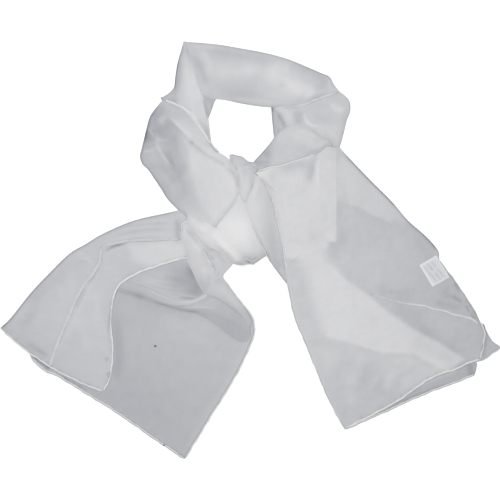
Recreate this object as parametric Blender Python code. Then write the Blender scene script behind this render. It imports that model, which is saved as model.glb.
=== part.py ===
"""A white silk scarf, tied once in a loose front knot and laid down flat.

The cloth is one long panel. Each stretch of it that shows is one solid: a wall where
the cloth lies single, a low rounded body where it is bunched. The stretches are laid
down in order, and each one rests on whatever is already under it.

Lengths in the tables are millimetres, with +X right, +Y towards the neck, +Z up.
"""

from collections import namedtuple

import bmesh
import bpy
import numpy as np

MM = 0.001  # metres in a millimetre, for the finished meshes

WALL = 1.2  # thickness of a cloth wall
SEAM_GAP = 0.4  # air between a stretch and what it rests on
SETTLING = 1.0  # share of any further air that a stretch gives up as it settles
MAP_PITCH = 1.25  # pitch of the height map that the stretches are laid on
MAP_HALF = 420.0  # the map reaches this far each way from the origin
MAP_FINENESS = 0.6  # a stretch is entered on the map at about this spacing
DOME_POWER = 2.6  # squareness of a bunched stretch's crown

SILK_COLOUR = (0.78, 0.79, 0.81, 1.0)
SILK_ROUGHNESS = 0.55
LABEL_COLOUR = (0.9, 0.9, 0.9, 1.0)
LABEL_ROUGHNESS = 0.7

# One row for each section of a stretch: its left and right edge in plan, how far its
# middle bows to the left of the line from left to right, and how high its crown stands.
Rib = namedtuple("Rib", "left_x left_y right_x right_y bow rise")
# One row for each large fold: a ridge from one plan point to another.
Fold = namedtuple("Fold", "x0 y0 x1 y1 width height")
# across and along are the numbers of mesh cells, and reach is how far a stretch
# bridges beside a step in what it rests on.
Stretch = namedtuple("Stretch", "name ribs folds across along reach")

GROUND_PANEL = Stretch("left_tail_ground", [
    Rib(-96, 51, -21, -12, 0, 1),
    Rib(-150, 39, -39, -40, 0, 1),
    Rib(-207, 21, -15, -75, 0, 1),
    Rib(-258, -6, 2, -99, 0, 1),
    Rib(-292, -38, 6, -122, 0, 1),
    Rib(-318, -70, -6, -153, 0, 1),
    Rib(-334, -105, -28, -198, 0, 1),
    Rib(-340, -135, -62, -250, 0, 1),
    Rib(-328, -162, -98, -313, 0, 1),
], [], 9, 16, 0)

TURNED_PANEL = Stretch("left_tail_turned", [
    Rib(-81, 66, -66, -3, 0, 2),
    Rib(-123, 54, -111, -15, 0, 3),
    Rib(-174, 44, -160, -31, 0, 3),
    Rib(-219, 25, -194, -50, 0, 3),
    Rib(-246, 9, -204, -70, 0, 3),
    Rib(-270, -7, -208, -87, 0, 3),
    Rib(-300, -36, -209, -108, 0, 3),
    Rib(-330, -66, -207, -132, 0, 3),
    Rib(-357, -100, -206, -162, -4, 2),
    Rib(-369, -112, -211, -192, -7, 1),
    Rib(-375, -117, -220, -212, -10, 1),
], [
    Fold(-105, 20, -215, 6, 9, 4),
    Fold(-215, 6, -262, -80, 9, 3),
], 8, 16, 14)

SWAG = Stretch("left_tail_swag", [
    Rib(-189, -39, -198, -57, 0, 1),
    Rib(-176, -45, -180, -64, 0, 4),
    Rib(-150, -62, -158, -75, 0, 7),
    Rib(-128, -74, -135, -82, 0, 8),
    Rib(-105, -80, -120, -89, 0, 8),
    Rib(-87, -80, -100, -92, 0, 8),
    Rib(-72, -72, -81, -94, 0, 8),
    Rib(-60, -62, -68, -100, 0, 8),
    Rib(-52, -52, -54, -108, 0, 7),
    Rib(-42, -44, -39, -118, 0, 6),
    Rib(-28, -57, -22, -130, 0, 4),
    Rib(-14, -78, -8, -138, 0, 2),
    Rib(0, -96, 4, -132, 0, 1),
], [], 5, 18, 6)

STRAP = Stretch("left_tail_strap", [
    Rib(-104, 44, -90, 46, 0, 5),
    Rib(-104, 27, -84, 24, 0, 8),
    Rib(-100, 8, -70, 4, 0, 9),
    Rib(-94, -14, -60, -10, 0, 9),
    Rib(-86, -38, -51, -28, 0, 9),
    Rib(-75, -57, -42, -42, 0, 8),
    Rib(-63, -68, -30, -54, 0, 7),
    Rib(-48, -76, -15, -74, 0, 5),
    Rib(-30, -87, -2, -92, 0, 3),
    Rib(-12, -102, 6, -108, 0, 1),
], [], 4, 16, 8)

UNDER_NECK_LEFT = Stretch("neck_under_left", [
    Rib(-102, 270, -54, 255, 0, 1),
    Rib(-117, 243, -50, 232, 0, 2),
    Rib(-132, 232, -54, 220, 0, 2),
    Rib(-134, 228, -60, 206, 0, 2),
    Rib(-126, 216, -64, 194, 0, 2),
    Rib(-111, 192, -63, 178, 0, 2),
    Rib(-87, 168, -62, 164, 0, 1),
], [], 6, 10, 0)

UNDER_NECK_RIGHT = Stretch("neck_under_right", [
    Rib(33, 228, 82, 228, 0, 1),
    Rib(33, 213, 75, 207, 0, 2),
    Rib(35, 192, 69, 186, 0, 2),
    Rib(38, 168, 69, 162, 0, 1),
], [], 5, 6, 0)

NECK_RIGHT = Stretch("neck_right", [
    Rib(42, 228, 132, 243, 0, 3),
    Rib(33, 214, 144, 230, 0, 7),
    Rib(45, 201, 150, 220, 0, 9),
    Rib(52, 186, 151, 207, 0, 10),
    Rib(60, 174, 146, 194, 0, 9),
    Rib(76, 162, 141, 177, 0, 7),
    Rib(96, 153, 136, 162, 0, 5),
    Rib(117, 147, 133, 152, 0, 2),
], [
    Fold(88, 204, 106, 184, 7, 3),
], 8, 10, 8)

NECK_BACK = Stretch("neck_back", [
    Rib(-99, 313, -96, 309, 0, 2),
    Rib(-90, 312, -80, 255, 0, 6),
    Rib(-75, 310, -64, 228, 0, 10),
    Rib(-45, 307, -39, 225, 0, 12),
    Rib(-12, 300, -12, 220, 0, 13),
    Rib(22, 294, 18, 216, 0, 13),
    Rib(56, 286, 48, 214, 0, 13),
    Rib(82, 276, 75, 216, 0, 12),
    Rib(105, 266, 96, 224, 0, 10),
    Rib(118, 258, 111, 230, 0, 7),
    Rib(124, 249, 122, 233, 0, 4),
    Rib(132, 240, 130, 236, 0, 1),
], [], 8, 18, 9)

NECK_LEFT = Stretch("neck_left", [
    Rib(-100, 312, -96, 312, 0, 1),
    Rib(-103, 297, -90, 290, 0, 3),
    Rib(-109, 282, -84, 276, 0, 5),
    Rib(-112, 267, -80, 264, 0, 7),
    Rib(-114, 249, -74, 249, 0, 8),
    Rib(-114, 232, -70, 232, 0, 9),
    Rib(-111, 213, -66, 213, 0, 8),
    Rib(-99, 195, -62, 195, 0, 7),
    Rib(-82, 177, -60, 178, 0, 5),
    Rib(-70, 162, -58, 160, 0, 2),
], [], 6, 14, 8)

NECK_LOWER = Stretch("neck_right_lower", [
    Rib(123, 166, 126, 150, 0, 2),
    Rib(108, 168, 110, 138, 0, 5),
    Rib(93, 178, 93, 128, 0, 8),
    Rib(81, 186, 75, 122, 0, 10),
    Rib(69, 188, 60, 117, 0, 11),
    Rib(56, 184, 45, 114, 0, 11),
    Rib(45, 177, 32, 111, 0, 11),
    Rib(30, 159, 21, 110, 0, 10),
    Rib(18, 146, 12, 111, 0, 8),
    Rib(7, 134, 8, 118, 0, 4),
], [], 8, 13, 8)

KNOT_CORE = Stretch("knot_core", [
    Rib(-36, 117, 3, 117, 0, 8),
    Rib(-54, 96, 18, 93, 0, 14),
    Rib(-64, 69, 26, 63, 0, 20),
    Rib(-62, 39, 30, 33, 0, 22),
    Rib(-51, 15, 30, 12, 0, 21),
    Rib(-36, -6, 26, -6, 0, 18),
    Rib(-20, -20, 15, -15, 0, 12),
    Rib(-3, -23, 6, -21, 0, 4),
], [], 8, 11, 8)

KNOT_TUCK = Stretch("knot_tuck", [
    Rib(-32, 138, 9, 134, 0, 6),
    Rib(-30, 126, 10, 120, 0, 7),
    Rib(-22, 111, 9, 104, 0, 6),
    Rib(-18, 93, 3, 86, 0, 4),
    Rib(-15, 78, -4, 69, 0, 1),
], [], 5, 9, 8)

GATHER = Stretch("right_tail_gather", [
    Rib(27, 102, 120, 135, 0, 4),
    Rib(45, 63, 132, 82, 0, 7),
    Rib(56, 15, 132, 18, 0, 6),
    Rib(63, -18, 108, -9, 0, 3),
], [], 6, 8, 10)

UNDER_PANEL = Stretch("right_tail_under", [
    Rib(72, -24, 114, -21, 0, 1),
    Rib(68, -75, 168, -60, 0, 1),
    Rib(90, -150, 240, -117, 0, 1),
    Rib(117, -213, 300, -153, 0, 1),
    Rib(132, -246, 342, -171, 0, 1),
    Rib(142, -270, 338, -186, 0, 1),
], [], 8, 11, 0)

UNDER_CORNER = Stretch("right_tail_corner", [
    Rib(320, -93, 351, -111, 0, 1),
    Rib(308, -114, 356, -120, 0, 1),
    Rib(303, -135, 366, -136, 0, 1),
    Rib(309, -153, 375, -146, 0, 1),
    Rib(327, -165, 364, -156, 0, 1),
    Rib(339, -168, 348, -166, 0, 1),
], [], 5, 8, 8)

SIDE_STRIP = Stretch("right_tail_side", [
    Rib(4, 114, 9, 116, 0, 1),
    Rib(3, 96, 24, 96, 0, 4),
    Rib(-6, 70, 36, 70, 0, 5),
    Rib(-2, 44, 44, 42, 0, 5),
    Rib(10, 21, 50, 18, 0, 5),
    Rib(21, 0, 52, -6, 0, 5),
    Rib(33, -20, 57, -27, 0, 4),
    Rib(46, -39, 60, -44, 0, 3),
    Rib(57, -56, 62, -57, 0, 1),
], [], 5, 15, 9)

TOP_PANEL = Stretch("right_tail_top", [
    Rib(6, 116, 129, 158, 0, 2),
    Rib(18, 105, 153, 132, 0, 3),
    Rib(28, 88, 183, 102, 0, 3),
    Rib(38, 63, 213, 72, 0, 3),
    Rib(44, 36, 237, 44, 0, 3),
    Rib(49, 9, 261, 21, 0, 3),
    Rib(52, -18, 280, 0, 0, 3),
    Rib(56, -46, 285, -16, 0, 3),
    Rib(60, -72, 300, -39, 0, 3),
    Rib(68, -100, 316, -63, 0, 3),
    Rib(81, -134, 332, -86, 0, 3),
    Rib(96, -170, 345, -108, 0, 2),
    Rib(111, -206, 352, -123, 0, 2),
    Rib(128, -240, 351, -136, 0, 2),
    Rib(142, -268, 345, -164, 4, 1),
], [
    Fold(100, 138, 96, 92, 8, 3),
    Fold(165, -63, 342, -108, 9, 2),
    Fold(100, -60, 290, -160, 22, 2),
], 13, 24, 12)

FRONT_LEFT = Stretch("front_left", [
    Rib(-134, 222, -126, 224, 0, 1),
    Rib(-141, 213, -112, 218, 0, 3),
    Rib(-150, 200, -94, 207, 0, 6),
    Rib(-155, 183, -81, 193, 0, 8),
    Rib(-159, 166, -70, 177, 0, 9),
    Rib(-163, 150, -60, 162, 0, 10),
    Rib(-165, 140, -51, 148, 0, 10),
    Rib(-160, 129, -36, 140, 0, 10),
    Rib(-152, 120, -24, 128, 0, 10),
    Rib(-142, 106, -18, 110, 0, 10),
    Rib(-132, 92, -15, 92, 0, 9),
    Rib(-122, 76, -16, 76, 0, 8),
    Rib(-110, 62, -28, 63, 0, 6),
    Rib(-100, 51, -42, 50, 0, 4),
    Rib(-90, 42, -51, 34, 0, 2),
], [
    Fold(-110, 200, -40, 132, 8, 3),
    Fold(-135, 150, -85, 55, 12, 3),
], 9, 18, 9)

KNOT_BAND = Stretch("knot_band", [
    Rib(-99, 40, -90, 56, 0, 2),
    Rib(-90, 21, -72, 45, 0, 4),
    Rib(-70, 4, -51, 32, 0, 6),
    Rib(-51, 0, -33, 15, 0, 7),
    Rib(-36, -12, -15, -3, 0, 6),
    Rib(-21, -22, -4, -15, 0, 4),
    Rib(-9, -24, 0, -21, 0, 2),
], [], 5, 12, 8)

CARE_LABEL = Stretch("care_label", [
    Rib(254, -23, 278, -9, 0, 0),
    Rib(275, -55, 299, -42, 0, 0),
], [], 3, 4, 6)

# From the lowest stretch to the uppermost, in the order in which they are laid down.
LAID_IN_ORDER = [
    GROUND_PANEL, UNDER_PANEL, UNDER_NECK_LEFT, UNDER_NECK_RIGHT, UNDER_CORNER,
    SWAG, TURNED_PANEL, NECK_RIGHT, NECK_BACK, NECK_LEFT, NECK_LOWER, KNOT_CORE,
    KNOT_TUCK, GATHER, SIDE_STRIP, TOP_PANEL, FRONT_LEFT, STRAP, KNOT_BAND, CARE_LABEL,
]


def along_ribs(rows, along):
    """Rows of numbers at `along + 1` stations of a Catmull-Rom curve through the given rows."""
    rows = np.asarray(rows, float)
    ends = np.vstack([2 * rows[0] - rows[1], rows, 2 * rows[-1] - rows[-2]])
    station = np.linspace(0, len(rows) - 1, along + 1)
    first = np.minimum(station.astype(int), len(rows) - 2)
    t = (station - first)[:, None]
    before, start, end, after = (ends[first + k] for k in range(4))
    return 0.5 * (
        2 * start
        + (end - before) * t
        + (2 * before - 5 * start + 4 * end - after) * t**2
        + (3 * start - before - 3 * end + after) * t**3
    )


def plan_grid(stretch):
    """Plan points and crown heights of a stretch, as (along + 1) x (across + 1) arrays."""
    rows = along_ribs(stretch.ribs, stretch.along)
    left, right, bow, rise = rows[:, None, 0:2], rows[:, None, 2:4], rows[:, None, 4:5], rows[:, 5:6]
    turn = np.pi * np.linspace(0, 1, stretch.across + 1)
    share = (0.5 - 0.5 * np.cos(turn))[None, :, None]
    chord = right - left
    sideways = np.concatenate([-chord[..., 1:], chord[..., :1]], axis=2)
    sideways /= np.linalg.norm(chord, axis=2, keepdims=True)
    plan = left + chord * share + sideways * bow * 4 * share * (1 - share)
    dome = np.sqrt(1 - np.abs(2 * share[..., 0] - 1) ** DOME_POWER)
    return plan, rise * dome


def fold_height(fold, plan):
    """Height that one ridge adds: a bell across it, which dies away towards its two ends."""
    start, end = np.array([fold.x0, fold.y0], float), np.array([fold.x1, fold.y1], float)
    run = end - start
    t = np.clip(((plan - start) @ run) / (run @ run), 0, 1)
    away = np.linalg.norm(plan - start - t[..., None] * run, axis=-1)
    return fold.height * np.exp(-((away / fold.width) ** 2)) * np.sin(np.pi * t) ** 0.5


def finely(surface):
    """A grid of points filled in between, and how many steps each of its cells was cut into."""
    rows, columns = surface.shape[:2]
    longest = max(np.linalg.norm(np.diff(surface[..., :2], axis=axis), axis=2).max() for axis in (0, 1))
    steps = int(longest / MAP_FINENESS) + 1
    v = np.linspace(0, rows - 1, (rows - 1) * steps + 1)
    u = np.linspace(0, columns - 1, (columns - 1) * steps + 1)
    i = np.minimum(v.astype(int), rows - 2)
    j = np.minimum(u.astype(int), columns - 2)
    s, t = (v - i)[:, None, None], (u - j)[None, :, None]
    near = surface[i][:, j] * (1 - t) + surface[i][:, j + 1] * t
    far = surface[i + 1][:, j] * (1 - t) + surface[i + 1][:, j + 1] * t
    return near * (1 - s) + far * s, steps


def spread(field, cells, combine):
    """Each cell of a map replaced by the largest or mean value within some cells of it."""
    for axis in (0, 1):
        field = combine([np.roll(field, shift, axis) for shift in range(-cells, cells + 1)], axis=0)
    return field


class HeightMap:
    """The top of everything laid down so far, in millimetres above the floor."""

    def __init__(self):
        cells = int(2 * MAP_HALF / MAP_PITCH) + 1
        self.top = np.zeros((cells, cells))

    def enter(self, plan, height):
        """Raises the map to a surface given on a grid."""
        fine, _ = finely(np.dstack([plan, height]))
        column, row = ((fine[..., k] + MAP_HALF) / MAP_PITCH for k in (0, 1))
        np.maximum.at(self.top, (row.round().astype(int), column.round().astype(int)), fine[..., 2])

    def under(self, plan, reach):
        """Height that a stretch rests at: the highest point within reach, then evened out."""
        cells = max(int(np.ceil(reach / MAP_PITCH)), 1)
        evened = spread(spread(self.top, cells, np.max), cells, np.mean)
        column, row = ((plan[..., k] + MAP_HALF) / MAP_PITCH for k in (0, 1))
        i, j = row.astype(int), column.astype(int)
        s, t = row - i, column - j
        near = evened[i, j] * (1 - t) + evened[i, j + 1] * t
        far = evened[i + 1, j] * (1 - t) + evened[i + 1, j + 1] * t
        return near * (1 - s) + far * s

    def air_under(self, plan, rest):
        """How far each grid point can go down before its cells touch what is under them."""
        fine, steps = finely(np.dstack([plan, rest]))
        column, row = ((fine[..., k] + MAP_HALF) / MAP_PITCH for k in (0, 1))
        below = spread(self.top, 1, np.max)[row.round().astype(int), column.round().astype(int)]
        air = np.where(below > 0, fine[..., 2] - below, np.inf)[:-1, :-1]
        rows, columns = rest.shape[0] - 1, rest.shape[1] - 1
        cells = air.reshape(rows, steps, columns, steps).min(axis=(1, 3))
        cells = np.pad(cells, 1, constant_values=np.inf)
        corner = np.min([cells[:-1, :-1], cells[1:, :-1], cells[:-1, 1:], cells[1:, 1:]], axis=0)
        return np.where(np.isfinite(corner), np.maximum(corner, 0), 0)


def cloth_material(name, colour, roughness):
    material = bpy.data.materials.new(name)
    material.use_nodes = True
    shader = material.node_tree.nodes["Principled BSDF"]
    shader.inputs["Base Color"].default_value = colour
    shader.inputs["Roughness"].default_value = roughness
    shader.inputs["Metallic"].default_value = 0.0
    material.diffuse_color = colour
    return material


def add_solid(stretch, lower, upper, material, collection):
    """A closed solid between two grids of points: a flat grid, extruded and then shaped."""
    mesh = bmesh.new()
    bmesh.ops.create_grid(mesh, x_segments=stretch.across, y_segments=stretch.along, size=1)
    place = mesh.verts.layers.int.new("place")
    for number, vertex in enumerate(mesh.verts):
        vertex[place] = number
    made = bmesh.ops.extrude_face_region(mesh, geom=mesh.faces[:])["geom"]
    raised = {item for item in made if isinstance(item, bmesh.types.BMVert)}
    for vertex in mesh.verts:
        points = upper if vertex in raised else lower
        vertex.co = points[vertex[place]]
    bmesh.ops.recalc_face_normals(mesh, faces=mesh.faces[:])
    data = bpy.data.meshes.new(stretch.name)
    mesh.to_mesh(data)
    mesh.free()
    data.shade_smooth()
    data.materials.append(material)
    solid = bpy.data.objects.new(stretch.name, data)
    collection.objects.link(solid)
    return solid


def lay_down(stretch, heights, material, collection):
    """Lays one stretch on what is under it, makes its solid, and enters it on the map."""
    plan, crown = plan_grid(stretch)
    rest = np.zeros(crown.shape)
    if stretch.reach:
        rest = heights.under(plan, stretch.reach)
        rest = np.maximum(rest - SETTLING * heights.air_under(plan, rest), 0)
        rest = np.where(rest > SEAM_GAP, rest + SEAM_GAP, rest)
    top = rest + WALL + crown
    for fold in stretch.folds:
        top = top + fold_height(fold, plan)
    lower = np.dstack([plan, rest]).reshape(-1, 3) * MM
    upper = np.dstack([plan, top]).reshape(-1, 3) * MM
    heights.enter(plan, top)
    return add_solid(stretch, lower, upper, material, collection)


def main():
    for old in list(bpy.data.objects):
        bpy.data.objects.remove(old)
    scarf = bpy.data.collections.new("silk_scarf")
    bpy.context.scene.collection.children.link(scarf)
    silk = cloth_material("silk", SILK_COLOUR, SILK_ROUGHNESS)
    woven_label = cloth_material("label", LABEL_COLOUR, LABEL_ROUGHNESS)
    heights = HeightMap()
    for stretch in LAID_IN_ORDER:
        material = woven_label if stretch is CARE_LABEL else silk
        lay_down(stretch, heights, material, scarf)


main()
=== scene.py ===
"""A sheer white silk scarf, tied once in a loose front knot and laid down flat.

The cloth is laid down one stretch after another, from the lowest to the uppermost. Each
stretch is a surface of two numbers, u across the cloth and v along it, worked out on a grid
from a short table of sections, and it lies on whatever is already under it. Sheer silk
Sheer silk looks whiter the more layers there are, so each stretch also knows how many layers
deep it is at every point. That count also carries painted shade and highlights: layers are
taken away for painted shadows beside steps and folds, in troughs and along outlines, and added
for painted highlights on crests and where an edge's own rounding would shade it.

Lengths in the tables are millimetres, with +X right, +Y towards the neck, +Z up.
"""

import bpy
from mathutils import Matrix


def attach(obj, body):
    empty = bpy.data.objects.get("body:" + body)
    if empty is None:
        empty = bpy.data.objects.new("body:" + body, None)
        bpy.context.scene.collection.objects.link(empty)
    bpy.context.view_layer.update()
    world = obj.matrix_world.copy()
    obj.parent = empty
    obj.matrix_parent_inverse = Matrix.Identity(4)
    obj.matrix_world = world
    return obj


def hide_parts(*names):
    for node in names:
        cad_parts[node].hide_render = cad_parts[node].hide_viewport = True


bl_info = {
    "name": "Silk scarf",
    "version": (1, 0, 0),
    "blender": (4, 5, 0),
    "location": "3D View > Sidebar > Scarf",
    "description": "Lays down a sheer white silk scarf, tied once, with rolled hems",
    "category": "Object",
}

from collections import namedtuple

import bpy
import numpy as np
from bpy.props import FloatProperty, FloatVectorProperty, IntProperty, PointerProperty

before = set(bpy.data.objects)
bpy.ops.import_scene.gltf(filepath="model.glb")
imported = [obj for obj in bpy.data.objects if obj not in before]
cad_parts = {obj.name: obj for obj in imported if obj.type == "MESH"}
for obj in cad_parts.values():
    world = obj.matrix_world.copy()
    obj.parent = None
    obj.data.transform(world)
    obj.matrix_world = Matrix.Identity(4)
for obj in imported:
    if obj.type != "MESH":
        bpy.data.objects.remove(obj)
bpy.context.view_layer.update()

MM = 0.001  # a millimetre, in metres

# The columns of each kind of row in the tables. Those at the end may be left out.
# A section of a stretch: its left and right edge in plan, how high its crown stands, how
# many layers of silk lie there at the left and at the right, and how far its middle bows
# to the left of the way from left to right.
Section = namedtuple("Section", "lx ly rx ry rise layers_l layers_r bow", defaults=[0])
# A crease runs from one plan point to another. It has a width on its left side and skew
# times that on its right, adds a height and some layers, and bows to its left. Its layers are
# partly real, as where more silk lies, a hem shows through or the label has its marks, and partly
# painted: taken away for painted shadows beside steps and folds and in troughs, added for
# painted highlights on crests. fade names the ends that it dies away at: both, start, end or none.
Crease = namedtuple("Crease", "x0 y0 x1 y1 width height layers bow skew fade",
                    defaults=[0, 1, "both"])
# A patch of layers added or taken away, partly where hidden layers end underneath and partly
# painted shade, as in the trough below the swag: layers added, how soft its edge is, corners,
# and any more parts, each a softness and corners. Where the parts overlap they count once.
Patch = namedtuple("Patch", "layers soft corners more", defaults=[()])
# A tug drags the cloth round a plan point by some way, less and less over a radius.
Tug = namedtuple("Tug", "x y dx dy radius")
# The tone and the puckers along one edge, from one share of it to another. Its layers are
# mostly painted light and shade: fewer paint the shadow along an outline or a step, more lift
# an edge that its own rounding shades; on the label, more are its close-woven border.
Edging = namedtuple("Edging", "edge start end width layers pucker", defaults=[0])
# A rolled hem along one edge of a stretch, from one share of the edge to another.
Hem = namedtuple("Hem", "edge start end radius layers")
# A hem or a rolled crease that runs across the cloth: its radius, layers and points.
Seam = namedtuple("Seam", "radius layers points")
KINDS = {"sections": Section, "creases": Crease, "patches": Patch, "tugs": Tug,
         "edgings": Edging, "hems": Hem, "seams": Seam}
# A stretch's long edges are each rolled, soft (they run out into the cloth below) or flat;
# one with flat edges is a single wall, the others are closed over a flat underside.
# reach is how far the cloth bridges beside a step, and crumple its fine unevenness.
Stretch = namedtuple("Stretch", ["name", "left", "right", "reach", "crumple", *KINDS])


def new_stretch(name, left, right, reach, crumple, **tables):
    """A stretch from its tables of bare rows. A table that isn't given is empty."""
    rows = ([kind(*row) for row in tables.get(table, ())] for table, kind in KINDS.items())
    return Stretch(name, left, right, reach, crumple, *rows)


# Painted shadows under the swag, and painted shade in the trough below it, as layers taken
# away. Both the panel on the ground and the swag that lies over it have them.
SWAG_SHADOWS = [
    (-204, -58, -152, -74, 3.2, -0.3, -1, 0, 1.2),
    (-176, -66, -104, -90, 1.6, -0.3, -0.8, -1.5, 1.3),
    (-124, -86, -70, -92, 1.4, -0.2, -0.75, -2.5, 1.4),
    (-186, -68, -64, -101, 8, -0.4, -0.3, -4, 1.2),
]
SWAG_TROUGH_SHADE = [
    (-0.4, 7, [(-108, -89), (-80, -91), (-52, -95), (-30, -104), (-12, -114), (0, -124), (-4, -135),
        (-15, -139), (-24, -136), (-35, -127), (-46, -117), (-60, -106), (-80, -97)]),
    (-0.15, 18, [(-96, -86), (-60, -84), (-30, -92), (-5, -106), (6, -122), (-2, -140), (-18, -141),
        (-36, -130), (-60, -110), (-80, -100)]),
]

GROUND_PANEL = new_stretch("left_tail_ground", "flat", "flat", 0, 0.5, sections=[
    (-96, 51, -21, -12, 0, 3, 2.8),
    (-122, 46, -28, -24, 0, 2.4, 2.6),
    (-150, 39, -40, -39, 0, 2, 2.4),
    (-176, 31, -32, -52, 0, 1.5, 2.1),
    (-207, 21, -17.5, -74, 0, 1, 1.8),
    (-258, -6, 2, -99, 0, 0.9, 1.6),
    (-292, -38, 6, -122, 0, 0.8, 1.5),
    (-318, -70, -4.5, -153, 0, 0.8, 1.5),
    (-334, -105, -27.5, -198, 0, 0.8, 1.3),
    (-340, -135, -60, -250, 0, 0.7, 1),
    (-328, -162, -98, -313, 0, 0.7, 0.9),
], creases=SWAG_SHADOWS + [
    # Painted shadow of the turned panel's right hem, a dark band beside it.
    (-204, -80, -200, -205, 9, -0.2, -0.7, 4),
    (-150, -112, -40, -134, 22, 0.8, 0.35, 8, 1.2),
    (-190, -100, -150, -260, 30, 1, 0),
    (-190, -46, -86, -72, 2.4, 0.7, 0.8, -7),
    (-186, -44, -92, -65, 2, 0.5, 0.55, -6),
    (-178, -38, -88, -60, 1.8, 0.4, 0.5, -5),
    (-172, -36, -100, -50, 2.2, 0.5, 0.5, -4),
    (-160, -32, -98, -38, 4, 0.5, 0.3, -2),
    (-150, -30, -92, -46, 2, -0.3, -0.15, -3),
    (-110, -65, -76, -70.5, 1.4, 0.3, 0.9, -1),
    (-112, -70, -78, -73, 1.3, -0.3, -0.7, -0.5),
    (-98, -60, -70, -67, 4, -0.2, -0.2),
    (-96, -18, -68, -74, 16, -0.6, -1, 2),
    (-97, -14, -82, -46, 4, -0.3, -0.5),
    (-136, -36, -84, -52, 10, -0.3, -0.3),
    (-66, -1, -42, -4, 2.6, -0.4, -1.1, 3),
    (-60, -8, -54, -16, 1.8, -0.4, -1.1),
    (-57, -20, -51, -34, 1.8, -0.4, -1.1),
    (-56, -10, -42, -28, 3, 0.5, 0.6, 2),
    (-50, -4, -34, -24, 1.8, -0.3, -0.7, 1),
    (-44, -8, -32, -20, 2.4, 0.4, 0.5, 1),
    (-44, -28, -40, -40, 2.4, 0.3, 0.1),
    (-324, -160, -302, -177, 1.9, -0.3, -1.8, 0, 1, "none"),
    (-292, -184, -240, -214, 2, -0.2, -1.3),
], patches=SWAG_TROUGH_SHADE + [
    (0.5, 24, [(-190, -46), (-156, -40), (-130, -36), (-132, -48), (-150, -64), (-184, -60)]),
    (-0.5, 18, [(-118, -22), (-95, -12), (-64, -70), (-96, -78), (-120, -62)]),
    (-0.15, 60, [(-240, -220), (-180, -190), (-120, -230), (-100, -300), (-160, -280)]),
], tugs=[(-308, -176, -1, -5, 15), (-205, -245, 1, 2.2, 60)], edgings=[
    ("right", 0.42, 1, 9, 0.5),
    ("end", 0, 1, 4, 0.3, 0.5),
], hems=[("end", 0, 1, 1.6, 6), ("right", 0.36, 1, 1.7, 6)])

TURNED_PANEL = new_stretch("left_tail_turned", "flat", "flat", 10, 0.6, sections=[
    (-81, 66, -66, -3, 2, 2.4, 3),
    (-122, 56, -111, -15, 3, 2, 2.8),
    (-174, 44, -160, -31, 3, 1.8, 2.2),
    (-219, 25, -194, -50, 3, 1.8, 2),
    (-246, 9, -204, -70, 3, 1.8, 2),
    (-271, -6, -208, -87, 3, 1.8, 2),
    (-301, -35, -209, -108, 3, 1.8, 2),
    (-330, -66, -207, -132, 3, 1.9, 2),
    (-357, -100, -206, -162, 2, 1.7, 2, -4),
    (-369, -112, -211, -192, 1, 1.2, 2.1, -7),
    (-375, -117, -220, -212, 1, 1, 2, -10),
], creases=[
    # Painted shadow under the fold of the pleat.
    (-178, 11, -222, -5, 2.4, -1, -1.3, -3),
    (-190, 9, -214, 2, 1.8, -0.5, -0.8, -1),
    (-108, 13, -190, 10, 1.8, -0.4, -0.5, -1),
    (-110, 22, -222, 9, 2.2, 0.6, 0.5, -6),
    (-108, 28, -212, 18, 1.8, -0.4, -0.45, -6),
    (-108, 34, -204, 26, 1.8, 0.4, 0.4, -5),
    (-108, 38, -200, 31, 1.6, -0.3, -0.35, -4),
    (-108, 44, -190, 38, 3, 0.4, 0.3, -3),
    # These three rows paint the thin shadow that the pleat's fold casts beside it down the tail.
    (-219, -5, -244, -57, 1.8, -0.5, -1.1, 1.5, 1.6),
    (-244, -54, -262, -92, 1.8, -0.4, -0.6, 0, 1.6),
    (-283, -120, -296, -166, 1.6, -0.2, -0.4, -1, 1.6),
    (-227, -22, -300, -172, 7, 0.7, 0.4, 3, 0.2),
    (-262, -13, -232, -28, 2.6, 0.8, 0.6, 7),
    (-266, -6, -232, -14, 3, 0.5, 0.3, 3),
    (-268, -14, -265, -90, 9, 1.2, 0.4),
    (-292, -40, -280, -100, 7, 0.6, 0.25, 4),
    (-316, -76, -338, -120, 9, -0.3, -0.3),
    (-352, -96, -246, -4, 12, 0, -0.45),
    (-229, -52, -227, -120, 8, 1.2, 0.4),
    (-196, -30, -214, -84, 6, 0.8, 0.5, 7),
    (-212, -92, -212, -130, 2.2, -0.3, -0.9),
    (-218, -160, -212, -168, 3, -0.4, -1.2),
    (-214, -182, -212, -192, 2.6, -0.4, -1.2),
    (-340, -138, -300, -164, 5, -0.6, -0.7, 2),
    (-322, -148, -302, -160, 3, -0.4, -0.35),
    (-292, -136, -258, -142, 3, -0.2, -0.35),
    (-300, -112, -240, -118, 14, 0.4, 0.2, 4),
    (-350, -118, -318, -92, 9, -0.4, -0.4),
    (-330, -80, -300, -48, 9, -0.3, -0.3),
    (-126, 44, -262, -16, 9, 1, 0, 14),
    # Painted shadow on this panel to the left of the strap.
    (-109, 52, -107, 4, 4.5, -0.4, -1.5),
], patches=[
    (1.5, 16, [(-104, 14), (-150, 12), (-182, 8), (-176, -14), (-150, -28), (-94, -12)]),
    (0.3, 20, [(-190, 6), (-216, 0), (-224, -30), (-262, -76), (-250, -150), (-210, -150),
        (-205, -60)]),
], edgings=[
    ("left", 0.04, 1, 4, -0.9),
    ("left", 0.04, 1, 1.6, -1.6),
    ("end", 0.1, 1, 5, -0.4, 0.5),
    ("right", 0.35, 1, 5, -0.2, 0.4),
], hems=[
    ("end", 0.05, 1, 1.2, 6.5),
    ("right", 0, 0.44, 1.6, 7.6),
    ("right", 0.4, 1, 1.4, 6),
], seams=[
    (2.2, 2.7, [(-104, 16.5), (-140, 15.5), (-170, 14.5), (-190, 12.5), (-206, 9), (-217, 5.5),
        (-224, -3)]),
    (2.7, 2.9, [(-223, 5), (-223.5, -8), (-227, -22), (-236, -37), (-247, -51), (-257, -67),
        (-265, -84), (-271, -100), (-280, -119), (-289, -142), (-301, -176)]),
])

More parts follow.
